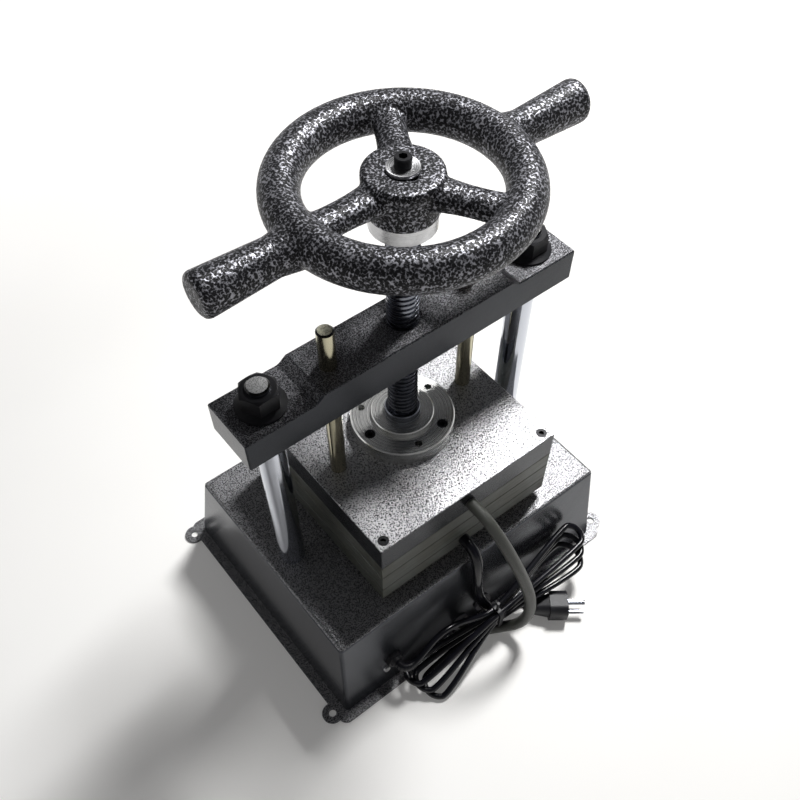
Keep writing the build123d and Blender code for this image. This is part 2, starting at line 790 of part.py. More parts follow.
with BuildPart() as upper_thermocouple:
    with BuildSketch(Plane.XZ.offset(-probe_back_y)):
        with Locations((0, pressure_z - probe_d / 2 - fit_gap)):
            Circle(probe_d / 2)
    extrude(amount=probe_back_y - probe_front_y)
    fillet(upper_thermocouple.faces().sort_by(Axis.Y)[0].edges(), probe_d / 2 - 0.5)
upper_thermocouple.part.label = "upper_thermocouple"
export_step(upper_thermocouple.part, "parts/upper_thermocouple.step")

insulation_half_x = stack_half_x - insulation_inset - cover_screw_inset
insulation_half_y = stack_half_y - insulation_inset - cover_screw_inset

with BuildPart() as upper_insulation:
    with BuildSketch(Plane.XY.offset(pressure_z)):
        Rectangle(2 * insulation_half_x, 2 * insulation_half_y)
        with Locations((0, terminal_pocket_mid_y)):
            RectangleRounded(
                terminal_pocket_x, terminal_pocket_y, terminal_pocket_corner_r, mode=Mode.SUBTRACT
            )
    extrude(amount=insulation_thick)
upper_insulation.part.label = "upper_insulation"
export_step(upper_insulation.part, "parts/upper_insulation.step")

# Thick plate that carries the bearing flange, the rods and the upper heating platen.
flange_screw_angles = (2, 122, 242)
flange_tapped_angles = (73.5, 193.5, 313.5)
flange_screw_spots = [
    (flange_hole_r * cos(radians(a)), flange_hole_r * sin(radians(a))) for a in flange_screw_angles
]
flange_tapped_spots = [
    (flange_hole_r * cos(radians(a)), flange_hole_r * sin(radians(a))) for a in flange_tapped_angles
]
rod_spots = [(rod_x, rod_y), (-rod_x, -rod_y)]

with BuildPart() as pressure_plate:
    with BuildSketch(Plane.XY.offset(pressure_z)):
        Rectangle(2 * stack_half_x, 2 * stack_half_y)
    extrude(amount=pressure_plate_thick)
    chamfer(pressure_plate.edges(), platen_chamfer)
    with BuildSketch(Plane.XY.offset(pressure_z)):
        Rectangle(2 * (insulation_half_x + fit_gap), 2 * (insulation_half_y + fit_gap))
    extrude(amount=insulation_thick, mode=Mode.SUBTRACT)
    with BuildSketch(Plane.XY.offset(pressure_z + insulation_thick)):
        with Locations((0, terminal_pocket_mid_y)):
            RectangleRounded(terminal_pocket_x, terminal_pocket_y, terminal_pocket_corner_r)
    extrude(amount=terminal_pocket_depth, mode=Mode.SUBTRACT)
    with BuildSketch(Plane.XZ.offset(-stack_half_y)):
        with Locations((0, upper_cord_z)):
            Circle(heater_cord_d / 2 + fit_gap)
    extrude(amount=stack_half_y - terminal_pocket_mid_y, mode=Mode.SUBTRACT)
    with BuildSketch(Plane.XY.offset(pressure_top_z)):
        Circle(bearing_pocket_r)
    extrude(amount=-bearing_pocket_depth, mode=Mode.SUBTRACT)
    with BuildSketch(Plane.XY.offset(pressure_top_z)):
        with Locations(*rod_spots):
            Circle(rod_d / 2 + fit_gap)
        with Locations(*flange_screw_spots):
            Circle(m6_d / 2 + fit_gap)
    extrude(amount=-rod_seat_depth, mode=Mode.SUBTRACT)
    with BuildSketch(Plane.XY.offset(pressure_top_z)):
        with GridLocations(2 * cover_screw_x, 2 * cover_screw_y, 2, 2):
            Circle(m6_d / 2 + fit_gap)
    extrude(amount=-pressure_plate_thick, mode=Mode.SUBTRACT)
    with BuildSketch(Plane.XY.offset(pressure_top_z)):
        with GridLocations(2 * cover_screw_x, 2 * cover_screw_y, 2, 2):
            Circle(m6_head_d / 2 + seat_gap)
    extrude(amount=-m6_head_h, mode=Mode.SUBTRACT)
pressure_plate.part.label = "pressure_plate"
export_step(pressure_plate.part, "parts/pressure_plate.step")

cover_screw_seat_z = pressure_top_z - m6_head_h
with BuildPart() as cover_screws:
    with BuildSketch(Plane.XY.offset(cover_screw_seat_z)):
        with GridLocations(2 * cover_screw_x, 2 * cover_screw_y, 2, 2):
            Circle(m6_head_d / 2)
    extrude(amount=m6_head_h)
    with BuildSketch(Plane.XY.offset(cover_screw_seat_z)):
        with GridLocations(2 * cover_screw_x, 2 * cover_screw_y, 2, 2):
            Circle(m6_d / 2)
    extrude(amount=-(cover_screw_seat_z - pressure_z + cover_screw_bite))
    with BuildSketch(Plane.XY.offset(pressure_top_z)):
        with GridLocations(2 * cover_screw_x, 2 * cover_screw_y, 2, 2):
            RegularPolygon(m6_socket_flats / 2, 6, major_radius=False)
    extrude(amount=-m6_head_h / 2, mode=Mode.SUBTRACT)
cover_screws.part.label = "cover_screws"
export_step(cover_screws.part, "parts/cover_screws.step")

# Guide rods stand in the pressure plate and slide in the crossbeam.
for rod_name, rod_spot in (("guide_rod_right", rod_spots[0]), ("guide_rod_left", rod_spots[1])):
    with BuildPart() as guide_rod:
        with BuildSketch(Plane.XY.offset(pressure_top_z - rod_seat_depth)):
            with Locations(rod_spot):
                Circle(rod_d / 2)
        extrude(amount=rod_top_z - pressure_top_z + rod_seat_depth)
        chamfer(guide_rod.faces().sort_by(Axis.Z)[-1].edges(), rod_chamfer)
    guide_rod.part.label = rod_name
    export_step(guide_rod.part, f"parts/{rod_name}.step")

# Flange that keeps the screw's end in the pressure plate: three screws, three tapped holes.
with BuildPart() as bearing_flange:
    with BuildSketch(Plane.XY.offset(pressure_top_z)):
        Circle(flange_r)
    extrude(amount=flange_thick)
    chamfer(bearing_flange.faces().sort_by(Axis.Z)[-1].edges(), flange_edge)
    with BuildSketch(Plane.XY.offset(flange_top_z)):
        Circle(flange_step_r)
    extrude(amount=flange_step_h)
    chamfer(bearing_flange.faces().sort_by(Axis.Z)[-1].edges(), flange_step_edge)
    with BuildSketch(Plane.XY.offset(pressure_top_z)):
        Circle(journal_d / 2 + running_gap)
        with Locations(*flange_screw_spots):
            Circle(m6_d / 2 + fit_gap)
        with Locations(*flange_tapped_spots):
            Circle(flange_tapped_d / 2)
    extrude(amount=flange_thick + flange_step_h, mode=Mode.SUBTRACT)
    with BuildSketch(Plane.XY.offset(flange_top_z)):
        with Locations(*flange_screw_spots):
            Circle(m6_head_d / 2 + seat_gap)
    extrude(amount=-m6_head_h - 1, mode=Mode.SUBTRACT)
bearing_flange.part.label = "bearing_flange"
export_step(bearing_flange.part, "parts/bearing_flange.step")

flange_screw_seat_z = flange_top_z - m6_head_h - 1
flange_screw_len = flange_screw_seat_z - pressure_top_z + flange_screw_bite - 1
with BuildPart() as flange_screws:
    with BuildSketch(Plane.XY.offset(flange_screw_seat_z)):
        with Locations(*flange_screw_spots):
            Circle(m6_head_d / 2)
    extrude(amount=m6_head_h)
    with BuildSketch(Plane.XY.offset(flange_screw_seat_z)):
        with Locations(*flange_screw_spots):
            Circle(m6_d / 2)
    extrude(amount=-flange_screw_len)
    with BuildSketch(Plane.XY.offset(flange_screw_seat_z + m6_head_h)):
        with Locations(*flange_screw_spots):
            RegularPolygon(m6_socket_flats / 2, 6, major_radius=False)
    extrude(amount=-m6_head_h / 2, mode=Mode.SUBTRACT)
flange_screws.part.label = "flange_screws"
export_step(flange_screws.part, "parts/flange_screws.step")

# Thrust ball bearing under the screw's end.
with BuildPart() as thrust_race_lower:
    with BuildSketch(Plane.XY.offset(bearing_z)):
        Circle(race_out_r)
        Circle(race_in_r, mode=Mode.SUBTRACT)
    extrude(amount=race_thick)
thrust_race_lower.part.label = "thrust_race_lower"
export_step(thrust_race_lower.part, "parts/thrust_race_lower.step")

with BuildPart() as thrust_ball_cage:
    with BuildSketch(Plane.XY.offset(cage_z - cage_thick / 2)):
        Circle(race_out_r - 0.8)
        Circle(race_in_r + 0.4, mode=Mode.SUBTRACT)
    extrude(amount=cage_thick)
    with Locations((0, 0, cage_z)):
        with PolarLocations(ball_circle_r, ball_count):
            Sphere(ball_d / 2)
thrust_ball_cage.part.label = "thrust_ball_cage"
export_step(thrust_ball_cage.part, "parts/thrust_ball_cage.step")

with BuildPart() as thrust_race_upper:
    with BuildSketch(Plane.XY.offset(upper_race_z)):
        Circle(race_out_r)
        Circle(journal_d / 2 + fit_gap, mode=Mode.SUBTRACT)
    extrude(amount=race_thick)
thrust_race_upper.part.label = "thrust_race_upper"
export_step(thrust_race_upper.part, "parts/thrust_race_upper.step")

# ================================================================ lead screw and hand wheel
keeper_h = pressure_top_z - fit_gap - keeper_z
with BuildPart() as screw_keeper:
    with BuildSketch(Plane.XY.offset(keeper_z)):
        Circle(keeper_r)
        Circle(journal_d / 2 + fit_gap, mode=Mode.SUBTRACT)
    extrude(amount=keeper_h)
    chamfer(screw_keeper.edges(), keeper_chamfer)
screw_keeper.part.label = "screw_keeper"
export_step(screw_keeper.part, "parts/screw_keeper.step")

screw_tip_z = upper_race_z + fit_gap
hub_seat_top_z = hub_top_z - hub_seat_top_inset
with BuildPart() as lead_screw:
    with BuildSketch(Plane.XZ):
        with BuildLine():
            Polyline(
                (0, screw_tip_z),
                (journal_d / 2, screw_tip_z),
                (journal_d / 2, collar_z),
                (collar_d / 2, collar_z),
                (collar_d / 2, collar_top_z),
                (screw_d / 2, collar_top_z),
                (screw_d / 2, hub_bottom_z - fit_gap),
                (hub_seat_d / 2, hub_bottom_z - fit_gap),
                (hub_seat_d / 2, hub_seat_top_z),
                (0, hub_seat_top_z),
                close=True,
            )
        make_face()
    revolve(axis=Axis.Z)
    with Locations((0, 0, hub_seat_top_z)):
        Cylinder(
            m8_d / 2 + fit_gap, hub_screw_len,
            align=(Align.CENTER, Align.CENTER, Align.MAX), mode=Mode.SUBTRACT,
        )
    with BuildSketch(Plane.XY.offset(hub_bottom_z + key_rise)):
        with Locations((0, (key_in_r + key_out_r) / 2 - fit_gap)):
            Rectangle(key_w + 2 * fit_gap, key_out_r - key_in_r)
    extrude(amount=key_len + 2 * fit_gap, mode=Mode.SUBTRACT)
lead_screw.part.label = "lead_screw"
export_step(lead_screw.part, "parts/lead_screw.step")

with BuildPart() as hub_key:
    with BuildSketch(Plane.XY.offset(hub_bottom_z + key_rise + fit_gap)):
        with Locations((0, (key_in_r + key_out_r) / 2)):
            Rectangle(key_w, key_out_r - key_in_r)
    extrude(amount=key_len)
hub_key.part.label = "hub_key"
export_step(hub_key.part, "parts/hub_key.step")

# Cast wheel: ring, three oval spokes that swell at both ends, and a stepped hub.
spoke_from = hub_body_r - spoke_bury_hub
spoke_to = rim_r - spoke_bury_rim
hub_disc_z = hub_top_z - hub_top_disc_h
spoke_mid = (spoke_from + spoke_to) / 2
with BuildPart() as hand_wheel:
    with Locations((0, 0, wheel_z)):
        Torus(rim_r, rim_tube_r)
    for index in range(spoke_count):
        angle = radians(index * 360 / spoke_count)
        outward = (cos(angle), sin(angle), 0)
        across = (-sin(angle), cos(angle), 0)
        for along, half_w, half_h in (
            (spoke_from, spoke_hub_half_w, spoke_hub_half_h),
            (spoke_mid, spoke_mid_half_w, spoke_mid_half_h),
            (spoke_to, spoke_rim_half_w, spoke_rim_half_h),
        ):
            centre = (along * outward[0], along * outward[1], wheel_z)
            with BuildSketch(Plane(centre, x_dir=across, z_dir=outward)):
                Ellipse(half_w, half_h)
        loft()
    with BuildSketch(Plane.XZ):
        with BuildLine():
            Polyline(
                (0, hub_bottom_z),
                (hub_band_r, hub_bottom_z),
                (hub_band_r, hub_bottom_z + hub_band_h),
                (hub_body_r, hub_bottom_z + hub_band_h),
                (hub_body_r, hub_disc_z - hub_step_slope),
                (hub_top_r, hub_disc_z),
                (hub_top_r, hub_top_z - hub_top_edge),
                (hub_top_r - hub_top_edge, hub_top_z),
                (0, hub_top_z),
                close=True,
            )
        make_face()
    revolve(axis=Axis.Z)
    with Locations((0, 0, hub_top_z)):
        Cylinder(
            hub_seat_d / 2 + fit_gap, hub_top_z - hub_bottom_z,
            align=(Align.CENTER, Align.CENTER, Align.MAX), mode=Mode.SUBTRACT,
        )
    with BuildSketch(Plane.XY.offset(hub_bottom_z)):
        with Locations((0, (key_in_r + key_out_r) / 2 + fit_gap)):
            Rectangle(key_w + 2 * fit_gap, key_out_r - key_in_r)
    extrude(amount=hub_top_z - hub_bottom_z, mode=Mode.SUBTRACT)
hand_wheel.part.label = "hand_wheel"
export_step(hand_wheel.part, "parts/hand_wheel.step")

# Handles on both sides of the rim: flared foot, slim neck, thick rounded end.
handle_foot_x = rim_r + handle_foot_out
handle_neck_x = handle_foot_x + handle_flare_len
handle_end_x = handle_tip_x - handle_end_r
handle_z = wheel_z - handle_drop
for side, handle_name in ((-1, "handle_left"), (1, "handle_right")):
    with BuildPart() as handle:
        with BuildSketch(Plane.XZ):
            with BuildLine():
                foot = (side * handle_foot_x, handle_z)
                shoulder = (side * handle_foot_x, handle_z + handle_flare_r)
                neck = (side * handle_neck_x, handle_z + handle_neck_r)
                swell = (side * handle_end_x, handle_z + handle_tip_r)
                end_rim = (side * handle_tip_x, handle_z + handle_tip_r - handle_end_r)
                end_mid = (side * handle_tip_x, handle_z)
                mid_arc = (
                    side * (handle_end_x + handle_end_r * sin(pi / 4)),
                    handle_z + handle_tip_r - handle_end_r + handle_end_r * cos(pi / 4),
                )
                Polyline(end_mid, foot, shoulder, neck, swell)
                ThreePointArc(swell, mid_arc, end_rim)
                Line(end_rim, end_mid)
            make_face()
        revolve(axis=Axis((0, 0, handle_z), (1, 0, 0)))
        with Locations((0, 0, wheel_z)):
            Torus(rim_r, rim_tube_r + running_gap, mode=Mode.SUBTRACT)
        add(handle.solids().sort_by(SortBy.VOLUME)[-1], mode=Mode.REPLACE)
    handle.part.label = handle_name
    export_step(handle.part, f"parts/{handle_name}.step")

with BuildPart() as hub_washer:
    with BuildSketch(Plane.XY.offset(hub_top_z)):
        Circle(washer_d / 2)
        Circle(m8_d / 2 + fit_gap, mode=Mode.SUBTRACT)
    extrude(amount=washer_h)
    chamfer(hub_washer.edges(), 0.3)
hub_washer.part.label = "hub_washer"
export_step(hub_washer.part, "parts/hub_washer.step")

hub_screw_seat_z = hub_top_z + washer_h
with BuildPart() as hub_screw:
    with BuildSketch(Plane.XY.offset(hub_screw_seat_z)):
        Circle(m8_head_d / 2)
    extrude(amount=m8_head_h)
    chamfer(hub_screw.faces().sort_by(Axis.Z)[-1].edges(), 0.8)
    with BuildSketch(Plane.XY.offset(hub_screw_seat_z)):
        Circle(m8_d / 2)
    extrude(amount=-(hub_screw_seat_z - hub_seat_top_z + hub_screw_len - 2))
    with BuildSketch(Plane.XY.offset(hub_screw_seat_z + m8_head_h)):
        RegularPolygon(m8_socket_flats / 2, 6, major_radius=False)
    extrude(amount=-m8_head_h / 2, mode=Mode.SUBTRACT)
hub_screw.part.label = "hub_screw"
export_step(hub_screw.part, "parts/hub_screw.step")

# ================================================================ controls on the front
controller_plane = front_plane(controller_x)
key_xs = (-key_pitch, 0, key_pitch)
controller_rear = controller_body - 2 * controller_frame

# Controller: case behind the panel with a bezel in front, a window and three key wells.
with BuildPart() as temperature_controller:
    with BuildSketch(controller_plane):
        RectangleRounded(controller_size, controller_size, controller_corner_r)
    extrude(amount=bezel_thick)
    chamfer(temperature_controller.faces().sort_by(Axis.Y)[0].edges(), controller_chamfer)
    with BuildSketch(controller_plane.offset(-sheet)):
        Rectangle(controller_rear, controller_rear)
    extrude(amount=-controller_depth)
    with BuildSketch(controller_plane):
        Rectangle(controller_body, controller_body)
    extrude(amount=-sheet)
    with BuildSketch(controller_plane.offset(bezel_thick)):
        with Locations((0, window_rise)):
            Rectangle(window_x, window_y)
    extrude(amount=-window_thick - window_sunk, mode=Mode.SUBTRACT)
    with BuildSketch(controller_plane.offset(bezel_thick)):
        for well_x in key_xs:
            with Locations((well_x, -key_row_drop)):
                RectangleRounded(key_cap_x + 2 * key_cap_gap, key_cap_y + 2 * key_cap_gap, 1.5)
    extrude(amount=-bezel_thick / 2 - key_cap_travel - fit_gap, mode=Mode.SUBTRACT)
temperature_controller.part.label = "temperature_controller"
export_step(temperature_controller.part, "parts/temperature_controller.step")

with BuildPart() as controller_window:
    with BuildSketch(controller_plane.offset(bezel_thick - window_sunk)):
        with Locations((0, window_rise)):
            Rectangle(window_x - 2 * fit_gap, window_y - 2 * fit_gap)
    extrude(amount=-window_thick)
controller_window.part.label = "controller_window"
export_step(controller_window.part, "parts/controller_window.step")

for key_name, key_x in zip(("key_set", "key_down", "key_up"), key_xs):
    with BuildPart() as key_cap:
        with BuildSketch(controller_plane.offset(bezel_thick / 2)):
            with Locations((key_x, -key_row_drop)):
                RectangleRounded(key_cap_x, key_cap_y, 1.3)
        extrude(amount=bezel_thick / 2 + key_cap_rise)
        fillet(key_cap.faces().sort_by(Axis.Y)[0].edges(), 0.5)
    key_cap.part.label = key_name
    export_step(key_cap.part, f"parts/{key_name}.step")

# Rocker switch: a frame with a box behind it, and a rocker on two stub pins.
switch_plane = front_plane(rocker_x, -switch_drop)
rocker_well_x = rocker_w + 2 * rocker_gap
rocker_well_y = 2 * (rocker_r + rocker_gap)
with BuildPart() as power_switch:
    with BuildSketch(switch_plane):
        RectangleRounded(switch_flange_x, switch_flange_y, 2)
    extrude(amount=switch_flange_thick)
    with BuildSketch(switch_plane):
        Rectangle(switch_body_x, switch_body_y)
    extrude(amount=-switch_body_depth)
    with BuildSketch(switch_plane.offset(switch_flange_thick)):
        Rectangle(rocker_well_x, rocker_well_y)
    extrude(amount=-switch_flange_thick - rocker_well_depth, mode=Mode.SUBTRACT)
    with BuildSketch(Plane(switch_plane.origin, x_dir=switch_plane.y_dir, z_dir=switch_plane.x_dir)):
        Circle(rocker_pin_d / 2 + running_gap)
    extrude(amount=rocker_pin_len / 2 + fit_gap, both=True, mode=Mode.SUBTRACT)
power_switch.part.label = "power_switch"
export_step(power_switch.part, "parts/power_switch.step")

# The rocker's ends are arcs about its pin, so it clears the frame at every angle.
tilt = radians(-rocker_tilt)
tilted_up = switch_plane.y_dir * cos(tilt) + switch_plane.z_dir * sin(tilt)
side_plane = Plane(switch_plane.origin, x_dir=tilted_up, z_dir=switch_plane.x_dir)
with BuildPart() as switch_rocker:
    with BuildSketch(side_plane):
        Circle(rocker_r)
        with BuildLine():
            Polyline(
                (-rocker_r, -rocker_floor),
                (rocker_r, -rocker_floor),
                (rocker_r, rocker_wing),
                (0, rocker_ridge),
                (-rocker_r, rocker_wing),
                close=True,
            )
        make_face(mode=Mode.INTERSECT)
    extrude(amount=rocker_w / 2, both=True)
    with BuildSketch(side_plane):
        Circle(rocker_pin_d / 2)
    extrude(amount=rocker_pin_len / 2, both=True)
switch_rocker.part.label = "switch_rocker"
export_step(switch_rocker.part, "parts/switch_rocker.step")

lamp_plane = front_plane(rocker_x, lamp_rise)
with BuildPart() as pilot_lamp:
    with BuildSketch(lamp_plane):
        Circle(lamp_d / 2)
    extrude(amount=lamp_rim_thick)
    with BuildSketch(lamp_plane.offset(lamp_rim_thick)):
        Circle(lamp_body_d / 2)
    extrude(amount=lamp_dome_h, taper=20)
    with BuildSketch(lamp_plane):
        Circle(lamp_body_d / 2)
    extrude(amount=-lamp_body_depth)
pilot_lamp.part.label = "pilot_lamp"
export_step(pilot_lamp.part, "parts/pilot_lamp.step")

# Inside the base, on the plate: the heaters' relay and the terminal block.
relay_spot = (foot_half_x - relay_inset_x, foot_front_y + relay_inset_y)
terminal_spot = (foot_half_x - terminal_inset_x, foot_back_y - terminal_inset_y)
with BuildPart() as heater_relay:
    with BuildSketch(Plane.XY.offset(plate_thick)):
        with Locations(relay_spot):
            Rectangle(relay_x, relay_y)
    extrude(amount=relay_z)
    chamfer(heater_relay.edges().filter_by(Axis.Z), relay_chamfer)
    with BuildSketch(Plane.XY.offset(plate_thick)):
        with Locations(relay_spot):
            with GridLocations(relay_x - 2 * relay_hole_inset, 0, 2, 1):
                Circle(relay_hole_d / 2)
    extrude(amount=relay_z, mode=Mode.SUBTRACT)
heater_relay.part.label = "heater_relay"
export_step(heater_relay.part, "parts/heater_relay.step")

with BuildPart() as terminal_block:
    with BuildSketch(Plane.XY.offset(plate_thick)):
        with Locations(terminal_spot):
            Rectangle(terminal_len, terminal_w)
    extrude(amount=terminal_h)
    with BuildSketch(Plane.XY.offset(plate_thick + terminal_h)):
        with Locations(terminal_spot):
            with GridLocations(terminal_len / terminal_count, terminal_row_gap, terminal_count, 2):
                Circle(terminal_hole_d / 2)
    extrude(amount=-terminal_hole_depth, mode=Mode.SUBTRACT)
terminal_block.part.label = "terminal_block"
export_step(terminal_block.part, "parts/terminal_block.step")

# ================================================================ rear wall fittings
with BuildPart() as cord_grommets:
    for entry_x, entry_z in ((upper_entry_x, upper_entry_z), (lower_entry_x, lower_entry_z)):
        entry_plane = back_plane(entry_x, entry_z)
        with BuildSketch(entry_plane):
            Circle(grommet_d / 2)
        extrude(amount=grommet_out)
        with BuildSketch(entry_plane):
            Circle(grommet_groove_d / 2)
        extrude(amount=-sheet)
        with BuildSketch(entry_plane.offset(-sheet)):
            Circle(grommet_d / 2)
        extrude(amount=-grommet_in)
        with BuildSketch(entry_plane.offset(grommet_out)):
            Circle(heater_cord_d / 2 + fit_gap)
        extrude(amount=-grommet_out - sheet - grommet_in, mode=Mode.SUBTRACT)
cord_grommets.part.label = "cord_grommets"
export_step(cord_grommets.part, "parts/cord_grommets.step")

gland_plane = back_plane(gland_x, gland_z)
with BuildPart() as power_gland:
    with BuildSketch(gland_plane):
        RegularPolygon(gland_nut_flats / 2, 6, major_radius=False)
    extrude(amount=gland_nut_h)
    with BuildSketch(gland_plane.offset(gland_nut_h)):
        Circle(gland_d / 2)
    extrude(amount=gland_nose - gland_nut_h, taper=18)
    with BuildSketch(gland_plane):
        Circle(gland_d / 2)
    extrude(amount=-gland_inside)
    with BuildSketch(gland_plane.offset(-sheet)):
        RegularPolygon(gland_nut_flats / 2, 6, major_radius=False)
    extrude(amount=-gland_lock_nut_h)
power_gland.part.label = "power_gland"
export_step(power_gland.part, "parts/power_gland.step")

with BuildPart() as earth_screw:
    with BuildSketch(back_plane(earth_screw_x, earth_screw_z)):
        Circle(earth_screw_d / 2)
    extrude(amount=earth_screw_h, taper=15)
    with BuildSketch(back_plane(earth_screw_x, earth_screw_z)):
        Circle(earth_shank_d / 2)
    extrude(amount=-earth_shank_len)
earth_screw.part.label = "earth_screw"
export_step(earth_screw.part, "parts/earth_screw.step")

# ================================================================ cords
# Upper heater cord: out of the pressure plate, down behind the base and into its grommet.
upper_cord_route = [
    (0, stack_half_y, upper_cord_z),
    (0, stack_half_y + 18, upper_cord_z),
    (-4, 141, 186),
    (-11, 158, 156),
    (-20, 170, 120),
    (-27, 178, 84),
    (-28, 180, 52),
    (-23, 175, 27),
    (-13, 163, 12),
    (1, 154, 9.5),
    (13, 148.5, 10),
    off_wall(upper_entry_x, upper_entry_z, grommet_out + 9),
    off_wall(upper_entry_x, upper_entry_z, grommet_out),
]
upper_cord_radii = cord_radii(upper_cord_route)
with BuildPart() as upper_heater_cord:
    with BuildLine() as upper_cord_line:
        FilletPolyline(*upper_cord_route, radius=upper_cord_radii)
    with BuildSketch(Plane(upper_cord_route[0], z_dir=(0, 1, 0))):
        Circle(heater_cord_d / 2)
    sweep()
upper_heater_cord.part.label = "upper_heater_cord"
export_step(upper_heater_cord.part, "parts/upper_heater_cord.step")
report_cord("upper_heater_cord", upper_cord_route, upper_cord_radii, upper_heater_cord,
            upper_cord_line, heater_cord_d)

# Lower heater cord: out of the lower housing plate, over the box's edge and down its wall.
lower_cord_route = [
    (lower_cord_x, stack_half_y, lower_cord_z),
    (lower_cord_x, stack_half_y + 13, lower_cord_z),
    (6, 127.5, 132),
    (8, 132, 105),
    (5, 131.5, 76),
    (1, 134, 54),
    (-4, 138, 40),
    (-8, 139, 31),
    off_wall(lower_entry_x, lower_entry_z, grommet_out + 6),
    off_wall(lower_entry_x, lower_entry_z, grommet_out),
]
lower_cord_radii = cord_radii(lower_cord_route)
with BuildPart() as lower_heater_cord:
    with BuildLine() as lower_cord_line:
        FilletPolyline(*lower_cord_route, radius=lower_cord_radii)
    with BuildSketch(Plane(lower_cord_route[0], z_dir=(0, 1, 0))):
        Circle(heater_cord_d / 2)
    sweep()
lower_heater_cord.part.label = "lower_heater_cord"
export_step(lower_heater_cord.part, "parts/lower_heater_cord.step")
report_cord("lower_heater_cord", lower_cord_route, lower_cord_radii, lower_heater_cord,
            lower_cord_line, heater_cord_d)


# Hank of the power cord: long turns drawn in at one waist. On the wall's side the cord runs
# to the left loops, and on the outer side it comes back; each turn lies under the last one.
def waist_run(level, side):
    """Straight run through the waist, from right to left on the wall's side and back outside."""
    y = waist_y + side * waist_half
    z = waist_floor_z + (level + 1) * hank_step
    return [(waist_x - side * waist_reach, y, z), (waist_x + side * waist_reach, y, z)]


def end_points(centre, reach_sign, bow_r, lean):
    """Corners of a turn's rounded end, from one side of it to the other."""
    corner_r = bow_r / cos(end_sweep / 2 / end_corners)
    corners = []
    for index in range(end_corners):
        angle = -end_sweep / 2 + end_sweep * (index + 0.5) / end_corners
        corners.append((
            centre[0] + reach_sign * corner_r * cos(angle),
            centre[1] - reach_sign * corner_r * sin(angle),
            centre[2] + reach_sign * lean * sin(angle),
        ))
    return corners


def end_middle(lowest, step, level):
    return tuple(start + level * move for start, move in zip(lowest, step))


turns_route = []
for level in range(hank_turns - 1, -1, -1):
    turns_route += waist_run(level, -1)
    turns_route += end_points(end_middle(left_end, left_end_step, level), -1,
                              left_bow_r - left_bow_step * level, left_lean * level)
    turns_route += waist_run(level, 1)
    turns_route += end_points(end_middle(right_end, right_end_step, level), 1,
                              right_bow_r - right_bow_step * level, 0)
turns_route.append((waist_x + waist_reach, waist_y - waist_half, waist_floor_z))
turns_route.append((waist_x - 8, waist_y - waist_half, waist_floor_z))

# Free stretch from the gland along the wall; the hank begins on its last run.
wall_route = [
    off_wall(gland_x, gland_z, gland_nose),
    off_wall(gland_x, gland_z, gland_nose + 8),
    (105, 147, 47),
    (90, 146, 52),
    (66, 141, 57),
    (42, 142, 57),
]
hank_from = tuple(Vector(*wall_route[-1]) * 0.4 + Vector(*turns_route[0]) * 0.6)
hank_to = (-22, 151.2, 22.5)
hank_route = [hank_from] + turns_route + [hank_to]
hank_radii = cord_radii(hank_route)
with BuildPart() as power_cord_hank:
    with BuildLine() as hank_line:
        FilletPolyline(*hank_route, radius=hank_radii)
    with BuildSketch(Plane(hank_from, z_dir=Vector(*hank_route[1]) - Vector(*hank_from))):
        Circle(power_cord_d / 2)
    sweep()
power_cord_hank.part.label = "power_cord_hank"
export_step(power_cord_hank.part, "parts/power_cord_hank.step")
report_cord("power_cord_hank", hank_route, hank_radii, power_cord_hank, hank_line, power_cord_d)

# Least gap of the hank to itself, on points along its line.
sample_step = 2.0
hank_wire = hank_line.wires()[0]
sample_count = int(hank_wire.length / sample_step)
samples = [hank_wire @ (i / sample_count) for i in range(sample_count + 1)]
skip = int(3 * power_cord_d / sample_step)
least_gap = min(
    (samples[i] - samples[j]).length
    for i in range(len(samples)) for j in range(i + skip, len(samples))
) - power_cord_d
print("power_cord_hank least gap to itself", round(least_gap, 2))

power_cord_route = wall_route + [hank_from]
power_cord_radii = cord_radii(power_cord_route)
with BuildPart() as power_cord:
    with BuildLine() as power_cord_line:
        FilletPolyline(*power_cord_route, radius=power_cord_radii)
    with BuildSketch(Plane(power_cord_route[0], z_dir=gland_plane.z_dir)):
        Circle(power_cord_d / 2)
    sweep()
power_cord.part.label = "power_cord"
export_step(power_cord.part, "parts/power_cord.step")
report_cord("power_cord", power_cord_route, power_cord_radii, power_cord, power_cord_line,
            power_cord_d)

# Tail from the hank to the plug: on in the hank's last direction, then along the plug's axis.
plug_dir = Vector(-cos(plug_turn), sin(plug_turn), 0)
plug_relief_tip = Vector(-45, 158, 14.5)
tail_out = (Vector(*hank_to) - Vector(*hank_route[-2])).normalized()
tail_route = [
    hank_to,
    tuple(Vector(*hank_to) + tail_out * 7),
    tuple(plug_relief_tip - plug_dir * 9),
    tuple(plug_relief_tip),
]
tail_radii = cord_radii(tail_route)
with BuildPart() as power_cord_tail:
    with BuildLine() as tail_line:
        FilletPolyline(*tail_route, radius=tail_radii)
    with BuildSketch(Plane(hank_to, z_dir=tail_out)):
        Circle(power_cord_d / 2)
    sweep()
power_cord_tail.part.label = "power_cord_tail"
export_step(power_cord_tail.part, "parts/power_cord_tail.step")
report_cord("power_cord_tail", tail_route, tail_radii, power_cord_tail, tail_line, power_cord_d)

